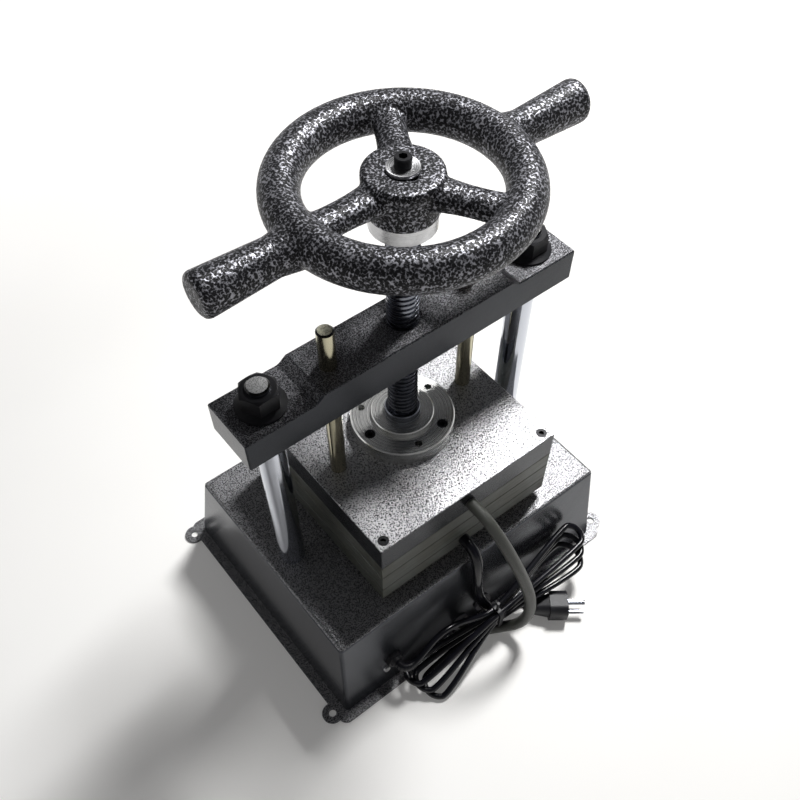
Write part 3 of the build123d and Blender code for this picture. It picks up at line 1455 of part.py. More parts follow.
# Tie round the waist: a rounded band, with its twisted end standing off.
tie_inside_y = 2 * waist_half + power_cord_d + 2 * seat_gap
tie_inside_z = hank_turns * hank_step + power_cord_d + 2 * seat_gap
tie_mid_z = waist_floor_z + hank_turns * hank_step / 2
with BuildPart() as cord_tie:
    with BuildSketch(Plane((waist_x, waist_y, tie_mid_z), x_dir=(0, 1, 0), z_dir=(1, 0, 0))):
        RectangleRounded(tie_inside_y + 2 * tie_thick, tie_inside_z + 2 * tie_thick, 5)
        RectangleRounded(tie_inside_y, tie_inside_z, 4, mode=Mode.SUBTRACT)
    extrude(amount=tie_w / 2, both=True)
    with BuildSketch(Plane.XY.offset(tie_mid_z + tie_inside_z / 2 + tie_thick / 2)):
        with Locations((waist_x, waist_y)):
            Circle(tie_twist_d / 2)
    extrude(amount=tie_twist_h)
cord_tie.part.label = "cord_tie"
export_step(cord_tie.part, "parts/cord_tie.step")

# Moulded plug: a relief, a waisted grip body and two flat blades with an earth pin.
plug_plane = Plane(plug_relief_tip, x_dir=plug_dir.cross(Vector(0, 0, 1)), z_dir=plug_dir)
with BuildPart() as plug_body:
    with BuildSketch(plug_plane):
        Circle(power_cord_d / 2 + plug_relief_tip_w)
    with BuildSketch(plug_plane.offset(plug_relief)):
        Circle(power_cord_d / 2 + plug_relief_foot_w)
    loft(ruled=True)
    with BuildSketch(plug_plane.offset(plug_relief)):
        RectangleRounded(plug_w * 0.62, plug_h * 0.62, 6)
    with BuildSketch(plug_plane.offset(plug_relief + plug_len * 0.45)):
        RectangleRounded(plug_w * 0.8, plug_h * 0.86, 8)
    loft(ruled=True)
    with BuildSketch(plug_plane.offset(plug_relief + plug_len * 0.45)):
        RectangleRounded(plug_w, plug_h, 9)
    extrude(amount=plug_len * 0.55)
plug_body.part.label = "plug_body"
export_step(plug_body.part, "parts/plug_body.step")

with BuildPart() as plug_pins:
    with BuildSketch(plug_plane.offset(plug_relief + plug_len)):
        with Locations((-plug_blade_x, plug_blade_rise), (plug_blade_x, plug_blade_rise)):
            Rectangle(plug_pin_t, plug_pin_w)
        with Locations((0, -plug_earth_drop)):
            Circle(plug_earth_d / 2)
    extrude(amount=plug_pin_len)
plug_pins.part.label = "plug_pins"
export_step(plug_pins.part, "parts/plug_pins.step")
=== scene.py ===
"""Looks of a rubber mold vulcanizer: two heated platens closed by a hand wheel and screw.

Lengths are in metres unless a name or a helper says millimetres. +Z is up, the operator stands
at -Y, and the photograph looks down on the back, from +X and +Y.
"""

import json
from math import cos, pi, radians, sin

import bmesh
import bpy
from mathutils import Matrix, Vector


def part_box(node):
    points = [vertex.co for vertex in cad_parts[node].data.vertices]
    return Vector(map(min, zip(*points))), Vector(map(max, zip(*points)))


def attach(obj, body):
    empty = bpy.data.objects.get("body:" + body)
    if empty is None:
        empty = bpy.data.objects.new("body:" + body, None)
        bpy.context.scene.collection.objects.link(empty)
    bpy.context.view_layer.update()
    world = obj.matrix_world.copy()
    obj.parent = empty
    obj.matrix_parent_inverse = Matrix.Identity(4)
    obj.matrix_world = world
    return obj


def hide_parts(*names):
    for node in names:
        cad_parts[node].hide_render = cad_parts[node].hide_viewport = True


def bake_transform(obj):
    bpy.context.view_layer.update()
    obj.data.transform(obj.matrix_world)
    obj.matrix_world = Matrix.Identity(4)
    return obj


MM = 0.001

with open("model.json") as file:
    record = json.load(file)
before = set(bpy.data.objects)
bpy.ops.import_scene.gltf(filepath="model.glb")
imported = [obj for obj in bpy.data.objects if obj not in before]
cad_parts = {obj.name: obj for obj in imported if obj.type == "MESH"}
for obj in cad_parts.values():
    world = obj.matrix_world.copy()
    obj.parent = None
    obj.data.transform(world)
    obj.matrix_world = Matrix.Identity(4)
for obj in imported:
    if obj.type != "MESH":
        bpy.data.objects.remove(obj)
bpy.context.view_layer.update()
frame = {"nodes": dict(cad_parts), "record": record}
nodes = frame["nodes"]


def mm(*values):
    return Vector(values) * MM


def add_object(name, data):
    made = bpy.data.objects.new(name, data)
    bpy.context.scene.collection.objects.link(made)
    return made


# ---------------------------------------------------------------- camera

CAMERA_AT = Vector((0.3263, 0.4080, 0.8962))
CAMERA_LOOK = Vector((-0.33316, -0.42887, -0.83969))
CAMERA_RIGHT = Vector((-0.78514, 0.61929, -0.00479))
CAMERA_LENS = 39.49
CAMERA_SHIFT = (0.0057, 0.121)


def make_camera():
    data = bpy.data.cameras.new("camera")
    data.lens = CAMERA_LENS
    data.sensor_width = 36
    data.shift_x, data.shift_y = CAMERA_SHIFT
    camera = add_object("camera", data)
    up = CAMERA_RIGHT.cross(CAMERA_LOOK)
    turn = Matrix((CAMERA_RIGHT, up, -CAMERA_LOOK)).transposed()
    camera.matrix_world = Matrix.Translation(CAMERA_AT) @ turn.to_4x4()
    bpy.context.scene.camera = camera


# ---------------------------------------------------------------- node materials


class Finish:
    """One material, built node by node around its Principled shader."""

    def __init__(self, name, colour, roughness, metallic=0.0, **sockets):
        self.material = bpy.data.materials.new(name)
        self.material.use_nodes = True
        self.tree = self.material.node_tree
        self.shader = self.tree.nodes["Principled BSDF"]
        self.shader.inputs["Base Color"].default_value = (*colour, 1)
        self.shader.inputs["Roughness"].default_value = roughness
        self.shader.inputs["Metallic"].default_value = metallic
        for socket, value in sockets.items():
            self.shader.inputs[socket.replace("_", " ")].default_value = value
        coordinates = self.tree.nodes.new("ShaderNodeTexCoord")
        self.place = coordinates.outputs["Object"]
        self.facing = coordinates.outputs["Normal"]
        self.uv = coordinates.outputs["UV"]

    def node(self, kind, inputs, output=0, **settings):
        made = self.tree.nodes.new("ShaderNode" + kind)
        for key, value in settings.items():
            setattr(made, key, value)
        for key, value in inputs.items():
            if isinstance(value, bpy.types.NodeSocket):
                self.tree.links.new(value, made.inputs[key])
            else:
                made.inputs[key].default_value = value
        return made.outputs[output]

    def math(self, operation, a, b=0.0, clamp=False):
        return self.node("Math", {0: a, 1: b}, operation=operation, use_clamp=clamp)

    def stretch(self, scale, place=None):
        """Coordinates with each axis multiplied, so that a texture runs in lines."""
        return self.node("VectorMath", {0: place or self.place, 1: scale}, operation="MULTIPLY")

    def noise(self, scale, detail=2.0, place=None, output="Fac"):
        inputs = {"Vector": place or self.place, "Scale": scale, "Detail": detail}
        return self.node("TexNoise", inputs, output)

    def ramp(self, level, stops):
        """Colours or greys over the places of level, smoothly joined."""
        made = self.tree.nodes.new("ShaderNodeValToRGB")
        made.color_ramp.interpolation = "EASE"
        elements = made.color_ramp.elements
        while len(elements) < len(stops):
            elements.new(1.0)
        for element, (position, colour) in zip(elements, stops):
            element.position = position
            element.color = (*colour, 1) if isinstance(colour, tuple) else (colour,) * 3 + (1,)
        self.tree.links.new(level, made.inputs[0])
        return made.outputs[0]

    def blend(self, factor, a, b):
        inputs = {0: factor, 6: a, 7: b}
        return self.node("Mix", inputs, 2, data_type="RGBA")

    def bump(self, height, depth, strength=1.0):
        """Relief of that depth in metres, on top of any relief already there."""
        normal = self.shader.inputs["Normal"]
        inputs = {"Height": height, "Distance": depth, "Strength": strength}
        if normal.is_linked:
            inputs["Normal"] = normal.links[0].from_socket
        self.tree.links.new(self.node("Bump", inputs), normal)

    def to(self, socket, value):
        self.tree.links.new(value, self.shader.inputs[socket])

    def up(self):
        """How far the surface faces up: 1 on a level top, 0 on a wall, -1 underneath."""
        return self.node("SeparateXYZ", {0: self.facing}, 2)

    def radius(self):
        """Distance from the part's Z axis, with the height, as coordinates for turned lines."""
        flat = self.stretch((1, 1, 0))
        length = self.node("VectorMath", {0: flat}, "Value", operation="LENGTH")
        height = self.node("SeparateXYZ", {0: self.place}, 2)
        return self.node("CombineXYZ", {0: length, 1: 0.0, 2: height})


def scaled(colour, share):
    return tuple(share * c for c in colour)


def top_share(finish, start=0.55, end=0.8):
    """1 on faces that look up, 0 on walls."""
    return finish.ramp(finish.up(), [(start, 0.0), (end, 1.0)])


VEIN_METAL, CELL_METAL, WALL_METAL = 0.8, 0.048, 0.75
WALL_ROUGHNESS = 0.24
WALL_RELIEF = 0.04
CELL_WARP = 1.5          # how far cell edges wander, in cells
CELL_SPECK = 0.42        # how much fine noise breaks the cells up
VEIN_HALF_TONE = 0.35    # share of the vein's colour halfway between cell and vein


def hammertone(name, cells, vein, dark, shares, relief, roughness, wall=None):
    """Enamel that dries into dark cells with silvery veins. cells is how many lie in a metre.

    shares are the levels where the cells end and the veins begin. wall is the colour of the
    smooth sides, on which the paint runs out without a pattern.
    """
    finish = Finish(name, vein, roughness, VEIN_METAL, Specular_IOR_Level=0.15)
    warp = finish.noise(cells * 0.9, 1.5, output="Color")
    centred = finish.node("VectorMath", {0: warp, 1: (0.5, 0.5, 0.5)}, operation="SUBTRACT")
    moved = finish.node("VectorMath", {0: centred, 1: (CELL_WARP / cells,) * 3}, operation="MULTIPLY")
    place = finish.node("VectorMath", {0: finish.place, 1: moved}, operation="ADD")
    cell = finish.node("TexVoronoi", {"Vector": place, "Scale": cells}, "Distance")
    fine = finish.math("SUBTRACT", finish.noise(cells * 1.7, 3), 0.5)
    level = finish.math("ADD", cell, finish.math("MULTIPLY", fine, CELL_SPECK))
    cell_end, vein_start = shares
    metal = finish.ramp(level, [(cell_end, CELL_METAL), (vein_start, VEIN_METAL)])
    middle = tuple(VEIN_HALF_TONE * a + (1 - VEIN_HALF_TONE) * b for a, b in zip(vein, dark))
    between = 0.5 * (cell_end + vein_start)
    colour = finish.ramp(level, [(cell_end, dark), (between, middle), (vein_start, vein)])
    swell = relief * 2.0
    if wall:
        swell = relief * 0.8
        top = top_share(finish)
        cloud = finish.noise(25, 3)
        smooth_side = finish.ramp(cloud, [(0.3, scaled(wall, 0.85)), (0.7, wall)])
        colour = finish.blend(top, smooth_side, colour)
        metal = finish.blend(top, (WALL_METAL,) * 3 + (1,), metal)
        level = finish.math("MULTIPLY", level, finish.ramp(top, [(0.0, WALL_RELIEF), (1.0, 1.0)]))
        finish.to("Roughness", finish.ramp(top, [(0.0, WALL_ROUGHNESS), (1.0, roughness)]))
    finish.to("Base Color", colour)
    finish.to("Metallic", metal)
    finish.bump(finish.noise(cells * 0.12, 1), swell, 0.5)
    finish.bump(level, relief)
    return finish.material


def joint_shade_lines(finish, colour, lines, half, dark):
    """Painted shade: dark thin lines round a block at the heights of its joints, given in millimetres,
    for the shade in the narrow gaps between plates.
    """
    height = finish.node("SeparateXYZ", {0: finish.place}, 2)
    shade = None
    for z in lines:
        away = finish.math("ABSOLUTE", finish.math("SUBTRACT", height, z * MM))
        line = finish.math("LESS_THAN", away, half * MM)
        shade = line if shade is None else finish.math("MAXIMUM", shade, line)
    return finish.blend(shade, colour, (*dark, 1))


SAWN_ROUGHNESS = 0.45
RIM_SHADOW = (0.02, 0.02, 0.02)


def plated(name, colour, roughness, sawn, lines=2500.0, patch=0.05):
    """Ground and plated bars: fine rings, a faint cloud in the gloss, bare ends, and a chamfer painted
    dark as shade.
    """
    finish = Finish(name, colour, roughness, 1.0)
    rings = finish.noise(lines, 2, finish.stretch((0.02, 0.02, 1)))
    finish.bump(rings, 4e-6)
    cloud = finish.noise(60, 3)
    end = top_share(finish, 0.85, 0.95)
    gloss = finish.ramp(cloud, [(0.3, roughness * 0.8), (0.7, roughness + patch)])
    finish.to("Roughness", finish.blend(end, gloss, (SAWN_ROUGHNESS,) * 3 + (1,)))
    pits = finish.noise(900, 4)
    bare = finish.ramp(pits, [(0.35, scaled(sawn, 0.45)), (0.6, sawn)])
    # Painted shade: the sloping chamfer at a bar's end is painted near black (RIM_SHADOW), as if it lay
    # in shade.
    rim = finish.ramp(finish.up(), [(0.50, 0.0), (0.62, 1.0), (0.80, 1.0), (0.88, 0.0)])
    ends = finish.blend(end, (*colour, 1), bare)
    finish.to("Base Color", finish.blend(rim, ends, (*RIM_SHADOW, 1)))
    finish.bump(finish.math("MULTIPLY", pits, end), 1.2e-4)
    return finish.material


def turned(name, colour, roughness, lines=1800.0, dark=0.8, depth=1.2e-5):
    """Faced and turned on a lathe round Z, with rings and light stains."""
    finish = Finish(name, colour, roughness, 1.0, Anisotropic=0.55)
    tangent = finish.tree.nodes.new("ShaderNodeTangent")
    tangent.direction_type, tangent.axis = "RADIAL", "Z"
    finish.to("Tangent", tangent.outputs[0])
    rings = finish.noise(lines, 3, finish.radius())
    finish.bump(rings, depth)
    stain = finish.noise(90, 4)
    finish.to("Base Color", finish.ramp(stain, [(0.35, scaled(colour, dark)), (0.6, colour)]))
    finish.to("Roughness", finish.ramp(rings, [(0.3, roughness * 0.7), (0.7, roughness * 1.4)]))
    return finish.material


# Heights, half width and colour of the joint lines, which are painted shade in the gaps between the
# stacked plates.
PLATE_JOINTS_Z = (150.0, 172.65)
JOINT_HALF = 0.45
JOINT_PAINTED_SHADE = (0.004, 0.004, 0.004)


def milled(name, colour, roughness):
    """Milled block: cutter lines along the faces, dulled in patches by heat, with painted shade lines at
    the plate joints.
    """
    finish = Finish(name, colour, roughness, 0.5)
    lines = finish.noise(900, 3, finish.stretch((0.03, 0.03, 1)))
    finish.bump(lines, 2.5e-5)
    heat = finish.noise(35, 4)
    warm = (colour[0] * 0.72, colour[1] * 0.70, colour[2] * 0.62)
    toned = finish.ramp(heat, [(0.32, warm), (0.62, colour)])
    finish.to("Base Color", joint_shade_lines(finish, toned, PLATE_JOINTS_Z, JOINT_HALF, JOINT_PAINTED_SHADE))
    finish.to("Roughness", finish.ramp(lines, [(0.3, roughness * 0.85), (0.7, roughness * 1.2)]))
    return finish.material


def speckled(name, colour, roughness, grain, depth, metallic=0.0, contrast=0.6, **sockets):
    """A plain moulded, oxidised or rubber surface with a fine grain and faint colour change."""
    finish = Finish(name, colour, roughness, metallic, **sockets)
    fine = finish.noise(grain, 4)
    broad = finish.noise(45, 3)
    finish.to("Base Color", finish.ramp(broad, [(0.3, scaled(colour, contrast)), (0.7, colour)]))
    dullest = min(1.0, roughness * 1.25)
    finish.to("Roughness", finish.ramp(fine, [(0.25, roughness * 0.8), (0.75, dullest)]))
    finish.bump(fine, depth)
    return finish.material


def braided(name, colour, roughness, strand=0.0011):
    """A woven glass sleeve: two sets of yarns that cross round the cord, from its UV lengths."""
    finish = Finish(name, colour, roughness, 0.0, Sheen_Weight=0.05)
    along = finish.node("SeparateXYZ", {0: finish.uv}, 0)
    round_ = finish.node("SeparateXYZ", {0: finish.uv}, 1)
    waves = []
    for way in (1.0, -1.0):
        slant = finish.math("ADD", along, finish.math("MULTIPLY", round_, way))
        waves.append(finish.math("SINE", finish.math("MULTIPLY", slant, 2 * pi / strand)))
    weave = finish.math("MULTIPLY_ADD", finish.math("MAXIMUM", waves[0], waves[1]), 0.5)
    weave = finish.math("ADD", weave, 0.5)
    finish.to("Base Color", finish.ramp(weave, [(0.1, scaled(colour, 0.45)), (0.8, colour)]))
    finish.bump(weave, 1.5e-4)
    return finish.material


def glowing(name, colour, strength):
    """Figures of a lit display."""
    finish = Finish(name, colour, 0.25, 0.0)
    finish.shader.inputs["Emission Color"].default_value = (*colour, 1)
    glow = finish.ramp(finish.noise(400, 2), [(0.3, 0.7 * strength), (0.7, strength)])
    finish.to("Emission Strength", glow)
    return finish.material


BASE_BLACK = (0.054, 0.057, 0.066)
BEAM_BLACK = (0.026, 0.028, 0.033)

FINISHES = {
    "hammered_base": hammertone(
        "hammered_base", cells=850, vein=(0.33, 0.33, 0.34), dark=(0.026, 0.026, 0.029),
        shares=(0.34, 0.58), relief=2.0e-4, roughness=0.38, wall=BASE_BLACK,
    ),
    "hammered_beam": hammertone(
        "hammered_beam", cells=950, vein=(0.17, 0.17, 0.18), dark=(0.008, 0.008, 0.010),
        shares=(0.42, 0.66), relief=1.6e-4, roughness=0.36, wall=BEAM_BLACK,
    ),
    "cover_top": hammertone(
        "cover_top", cells=700, vein=(0.40, 0.40, 0.41), dark=(0.010, 0.010, 0.013),
        shares=(0.28, 0.50), relief=2.2e-4, roughness=0.36, wall=BEAM_BLACK,
    ),
    "hammered_wheel": hammertone(
        "hammered_wheel", cells=540, vein=(0.27, 0.27, 0.295), dark=(0.004, 0.004, 0.005),
        shares=(0.50, 0.78), relief=2.0e-4, roughness=0.42,
    ),
    "bare_steel": turned("bare_steel", (0.56, 0.56, 0.57), 0.32),
    "turned_flange": turned(
        "turned_flange", (0.84, 0.84, 0.82), 0.26, lines=3600, dark=0.9, depth=1.2e-6
    ),
    "screw_steel": turned("screw_steel", (0.20, 0.21, 0.24), 0.22, lines=1200),
    "chrome_column": plated("chrome_column", (0.55, 0.57, 0.62), 0.10, (0.42, 0.42, 0.42)),
    "rod_brass": plated(
        "rod_brass", (0.46, 0.43, 0.31), 0.15, (0.60, 0.58, 0.46), lines=2200, patch=0.08
    ),
    "platen_alloy": milled("platen_alloy", (0.074, 0.078, 0.070), 0.42),
    "heater_sheath": milled("heater_sheath", (0.40, 0.39, 0.38), 0.38),
    "black_oxide": speckled(
        "black_oxide", (0.010, 0.010, 0.012), 0.38, 1500, 2e-5, metallic=0.3, Specular_IOR_Level=0.25
    ),
    "insulation": speckled("insulation", (0.10, 0.095, 0.08), 0.85, 700, 1.2e-4),
    "cord_sleeve": braided("cord_sleeve", (0.027, 0.029, 0.023), 0.42),
    "cord_black": speckled(
        "cord_black", (0.006, 0.006, 0.009), 0.17, 900, 1.0e-5, Specular_IOR_Level=0.25, Coat_Weight=0.08
    ),
    "black_plastic": speckled(
        "black_plastic", (0.012, 0.012, 0.015), 0.42, 2600, 4e-5, Specular_IOR_Level=0.3
    ),
    "key_rubber": speckled("key_rubber", (0.16, 0.16, 0.17), 0.65, 2200, 3e-5, contrast=0.85),
    "relay_case": speckled("relay_case", (0.70, 0.69, 0.65), 0.45, 1800, 3e-5, contrast=0.92),
    "window": speckled("window", (0.020, 0.010, 0.010), 0.08, 300, 2e-6, Coat_Weight=0.6),
    "lamp_red": speckled(
        "lamp_red", (0.60, 0.03, 0.02), 0.18, 500, 3e-5, contrast=0.7, Transmission_Weight=0.3
    ),
}


def dress(piece, slot):
    """Gives a piece its slot's finish in every material slot of its mesh or curve."""
    if not piece.data.materials:
        piece.data.materials.append(None)
    for index in range(len(piece.data.materials)):
        piece.data.materials[index] = FINISHES[slot]


def dress_nodes():
    """Each node takes the finish of its slot; the tie and the plug's pins look duller than theirs."""
    for part in frame["record"]["subparts"]:
        dress(nodes[part["node"]], part["material_slot"])
    dress(nodes["cord_tie"], "black_plastic")
    dress(nodes["plug_pins"], "screw_steel")


# ---------------------------------------------------------------- mesh helpers


def smooth(mesh):
    for face in mesh.polygons:
        face.use_smooth = True


def finish_piece(piece, body, slot, *replaced):
    dress(piece, slot)
    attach(piece, body)
    if replaced:
        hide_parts(*replaced)
    return piece


def lathe(bm, profile, steps=96):
    """Adds a closed ring turned round Z from (radius, height) corners, in millimetres."""
    rings = []
    for index in range(steps):
        angle = 2 * pi * index / steps
        rings.append([bm.verts.new(mm(r * cos(angle), r * sin(angle), z)) for r, z in profile])
    count = len(profile)
    for index in range(steps):
        here, there = rings[index], rings[(index + 1) % steps]
        for side in range(count):
            after = (side + 1) % count
            bm.faces.new((here[side], there[side], there[after], here[after]))


def ridge(bm, root_r, crest_r, pitch, low, high, root_half, crest_half, steps=64):
    """Adds one closed helical thread ridge, in millimetres, thinning out at both ends."""
    count = int((high - low) / pitch * steps)
    rows = []
    for index in range(count + 1):
        angle = 2 * pi * index / steps
        z = low + pitch * index / steps
        rise = min(1.0, index / (steps / 4), (count - index) / (steps / 4))
        crest = root_r + max(0.02, rise) * (crest_r - root_r)
        corners = ((root_r, -root_half), (crest, -crest_half), (crest, crest_half), (root_r, root_half))
        rows.append([bm.verts.new(mm(r * cos(angle), r * sin(angle), z + up)) for r, up in corners])
    for here, there in zip(rows, rows[1:]):
        for side in range(4):
            after = (side + 1) % 4
            bm.faces.new((here[side], there[side], there[after], here[after]))
    bm.faces.new(rows[0][::-1])
    bm.faces.new(rows[-1])


def mesh_piece(name, bm, crease=radians(35)):
    bmesh.ops.recalc_face_normals(bm, faces=bm.faces)
    mesh = bpy.data.meshes.new(name)
    bm.to_mesh(mesh)
    bm.free()
    smooth(mesh)
    mesh.set_sharp_from_angle(angle=crease)
    return add_object(name, mesh)


# ---------------------------------------------------------------- cords

UPPER_CORD_D, LOWER_CORD_D, POWER_CORD_D = 12.0, 12.0, 6.5

UPPER_ROUTE = [
    (0, 102.5, 203), (0, 120.5, 203), (-4, 141, 186), (-11, 158, 156), (-20, 170, 120),
    (-27, 178, 84), (-28, 180, 52), (-23, 175, 27), (-13, 163, 12), (1, 154, 9.5),
    (13, 148.5, 10), (22, 140.56, 16.26), (22, 131.61, 15.32),
]
LOWER_ROUTE = [
    (4, 102.5, 141), (4, 115.5, 141), (6, 127.5, 132), (8, 132, 105), (5, 131.5, 76),
    (1, 134, 54), (-4, 138, 40), (-8, 139, 31), (-10, 136.83, 22.95), (-10, 130.86, 22.32),
]
WALL_ROUTE = [
    (112, 133.72, 42.84), (112, 141.67, 43.69), (105, 147, 47), (90, 146, 52), (66, 141, 57),
    (42, 142, 57), (20.4, 147.34, 50.46),
]
WAIST_X, WAIST_REACH = -6.0, 12.0
WAIST_BACK_Y, WAIST_FRONT_Y = 158.1, 150.9
WAIST_FLOOR_Z, HANK_STEP = 24.5, 7.2
END_CORNERS, END_SWEEP = 5, radians(200)
LEFT_END, LEFT_STEP = (-108, 150.5, 37.5), (-8, -4.5, 11)      # lowest turn, and up to the next
LEFT_BOW_R, LEFT_BOW_STEP, LEFT_LEAN = 20, 3.5, 1.5
RIGHT_END, RIGHT_STEP = (81, 166, 4.2), (7, -9, 7.8)
RIGHT_BOW_R, RIGHT_BOW_STEP = 16, 1.5
HANK_LEAVE = [(6, 150.9, 24.5), (-14, 150.9, 24.5), (-22, 151.2, 22.5)]
LEAVE_RUN, PLUG_RUN = 7, 9
PLUG_TURN = radians(38)
PLUG_TIP = (-45.0, 158.0, 14.5)
RELIEF_LENGTH, RELIEF_FOOT_R, RELIEF_TIP_R, RELIEF_RIB, RELIEF_PITCH = 22.0, 5.0, 3.7, 0.5, 2.6


def waist_run(layer, side):
    """One layer's run through the tie, in front of or behind the other."""
    y = WAIST_FRONT_Y if side < 0 else WAIST_BACK_Y
    z = WAIST_FLOOR_Z + (layer + 1) * HANK_STEP
    return [(WAIST_X - side * WAIST_REACH, y, z), (WAIST_X + side * WAIST_REACH, y, z)]


def end_bow(centre, side, bow_r, lean):
    """The corners of one rounded end of the hank, which leans a little out of the vertical."""
    corner_r = bow_r / cos(END_SWEEP / 2 / END_CORNERS)
    corners = []
    for index in range(END_CORNERS):
        angle = -END_SWEEP / 2 + END_SWEEP * (index + 0.5) / END_CORNERS
        x = centre[0] + side * corner_r * cos(angle)
        y = centre[1] - side * corner_r * sin(angle)
        corners.append((x, y, centre[2] + side * lean * sin(angle)))
    return corners


def end_middle(lowest, step, layer):
    return tuple(start + layer * move for start, move in zip(lowest, step))


def hank_route():
    """Three turns, from the top one down, each a left end and a right end joined at the waist."""
    route = []
    for layer in (2, 1, 0):
        left = end_middle(LEFT_END, LEFT_STEP, layer)
        right = end_middle(RIGHT_END, RIGHT_STEP, layer)
        route += waist_run(layer, -1)
        route += end_bow(left, -1, LEFT_BOW_R - LEFT_BOW_STEP * layer, LEFT_LEAN * layer)
        route += waist_run(layer, 1)
        route += end_bow(right, 1, RIGHT_BOW_R - RIGHT_BOW_STEP * layer, 0)
    return route + HANK_LEAVE


def tail_route(last, before):
    """From the hank to the plug's relief, along the hank's last run and then the plug's axis."""
    out = (Vector(last) - Vector(before)).normalized()
    into = Vector((-cos(PLUG_TURN), sin(PLUG_TURN), 0))
    return [tuple(Vector(last) + LEAVE_RUN * out), tuple(Vector(PLUG_TIP) - PLUG_RUN * into), PLUG_TIP]


def cord_curve(name, route):
    curve = bpy.data.curves.new(name, "CURVE")
    curve.dimensions = "3D"
    curve.resolution_u = 10
    spline = curve.splines.new("NURBS")
    spline.points.add(len(route) - 1)
    for point, place in zip(spline.points, route):
        point.co = (*mm(*place), 1)
    spline.order_u = 3
    spline.use_endpoint_u = True
    return add_object(name, curve)


def line_of(cord):
    """The points of a curve's own line, in metres."""
    mesh = bpy.data.meshes.new_from_object(cord)
    points = [vertex.co.copy() for vertex in mesh.vertices]
    bpy.data.meshes.remove(mesh)
    return points


def route_line(route):
    """The smooth line of a route, read from a curve that isn't kept."""
    guide = cord_curve("guide", route)
    points = line_of(guide)
    bpy.data.objects.remove(guide)
    return points


def length_of(points):
    return sum((b - a).length for a, b in zip(points, points[1:]))


def tube(name, points, radius_at, sides=24):
    """A closed mesh tube along points, with UVs in metres along and round it."""
    bm = bmesh.new()
    uv = bm.loops.layers.uv.new("lengths")
    side = None
    rows, along = [], [0.0]
    for index, point in enumerate(points):
        ahead = points[min(index + 1, len(points) - 1)]
        behind = points[max(index - 1, 0)]
        forward = (ahead - behind).normalized()
        side = side - forward * side.dot(forward) if side else forward.orthogonal()
        side.normalize()
        other = forward.cross(side)
        if index:
            along.append(along[-1] + (point - points[index - 1]).length)
        radius = radius_at(along[-1])
        angles = [2 * pi * step / sides for step in range(sides)]
        rows.append([bm.verts.new(point + radius * (cos(a) * side + sin(a) * other)) for a in angles])
    girth = 2 * pi * radius_at(along[-1])
    for index in range(len(rows) - 1):
        for step in range(sides):
            after = (step + 1) % sides
            here, there = rows[index], rows[index + 1]
            face = bm.faces.new((here[step], here[after], there[after], there[step]))
            ends = ((index, step), (index, step + 1), (index + 1, step + 1), (index + 1, step))
            for loop, (row, column) in zip(face.loops, ends):
                loop[uv].uv = (along[row], girth * column / sides)
    bm.faces.new(rows[0][::-1])
    bm.faces.new(rows[-1])
    return mesh_piece(name, bm, radians(60))


def make_upper_cord():
    """It hangs in a loop behind the press, long enough for the platen's whole lift."""
    points = route_line(UPPER_ROUTE)
    radius = UPPER_CORD_D / 2 * MM
    cord = tube("upper_cord_sleeve", points, lambda along: radius)
    dress(cord, "cord_sleeve")
    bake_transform(cord)
    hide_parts("upper_heater_cord")


def make_curve_cord(name, route, diameter, replaced, **facts):
    cord = cord_curve(name, route)
    points = line_of(cord)
    cord.data.bevel_depth = diameter / 2 * MM
    cord.data.bevel_resolution = 6
    cord.data.use_fill_caps = True
    finish_piece(cord, "root", "cord_black", *replaced)
    return points


def make_strain_relief(points):
    """A ribbed rubber sleeve that tapers along the first stretch of the power cord."""
    sleeve = []
    while length_of(sleeve) < RELIEF_LENGTH * MM:
        sleeve.append(points[len(sleeve)])

    def radius_at(along):
        share = min(1.0, along / (RELIEF_LENGTH * MM))
        rib = RELIEF_RIB * max(0.0, cos(2 * pi * along / (RELIEF_PITCH * MM)))
        return (RELIEF_FOOT_R + (RELIEF_TIP_R - RELIEF_FOOT_R) * share + rib) * MM

    finish_piece(tube("power_relief", refined(sleeve), radius_at), "root", "cord_black")


def refined(points, step=0.4 * MM):
    """The same line with points close enough to carry the ribs."""
    made = []
    for here, there in zip(points, points[1:]):
        count = max(1, round((there - here).length / step))
        made += [here.lerp(there, index / count) for index in range(count)]
    return made + [points[-1]]


def make_cords():
    make_upper_cord()
    make_curve_cord(
        "lower_cord", LOWER_ROUTE, LOWER_CORD_D, ["lower_heater_cord"],
        far_end="object", stiffness="medium", lay="hanging",
    )
    hank = hank_route()
    route = WALL_ROUTE + hank + tail_route(hank[-1], hank[-2])
    make_strain_relief(route_line(route))
    with_pieces = ["plug_body", "plug_pins", "cord_tie", "power_relief"]
    make_curve_cord(
        "power_lead", route, POWER_CORD_D, ["power_cord", "power_cord_hank", "power_cord_tail"],
        far_end="plug", stiffness="medium", lay="coiled", with_pieces=with_pieces,
    )


# ---------------------------------------------------------------- hand wheel

HUB_BOTTOM_Z, HUB_BAND_TOP_Z, HUB_BAND_R, HUB_BORE_R = 461.0, 473.0, 26.5, 11.05
HUB_BAND_BEVEL, HUB_BAND_SEAT = 0.5, 1.0
CASTING_CUT_Z = HUB_BAND_TOP_Z + 0.6
CASTING_VOXEL = 1.3 * MM
CASTING_SMOOTHS = 3


def casting_start():
    """The CAD rim, spokes, hub and handles in one mesh, without the hub's turned band."""
    bm = bmesh.new()
    for name in ("hand_wheel", "handle_left", "handle_right"):
        bm.from_mesh(nodes[name].data)
    bmesh.ops.remove_doubles(bm, verts=bm.verts, dist=1e-6)
    cut = bmesh.ops.bisect_plane(
        bm, geom=bm.verts[:] + bm.edges[:] + bm.faces[:], plane_co=mm(0, 0, CASTING_CUT_Z),
        plane_no=(0, 0, 1), clear_inner=True,
    )
    edges = [item for item in cut["geom_cut"] if isinstance(item, bmesh.types.BMEdge)]
    bmesh.ops.holes_fill(bm, edges=edges, sides=0)
    return bm


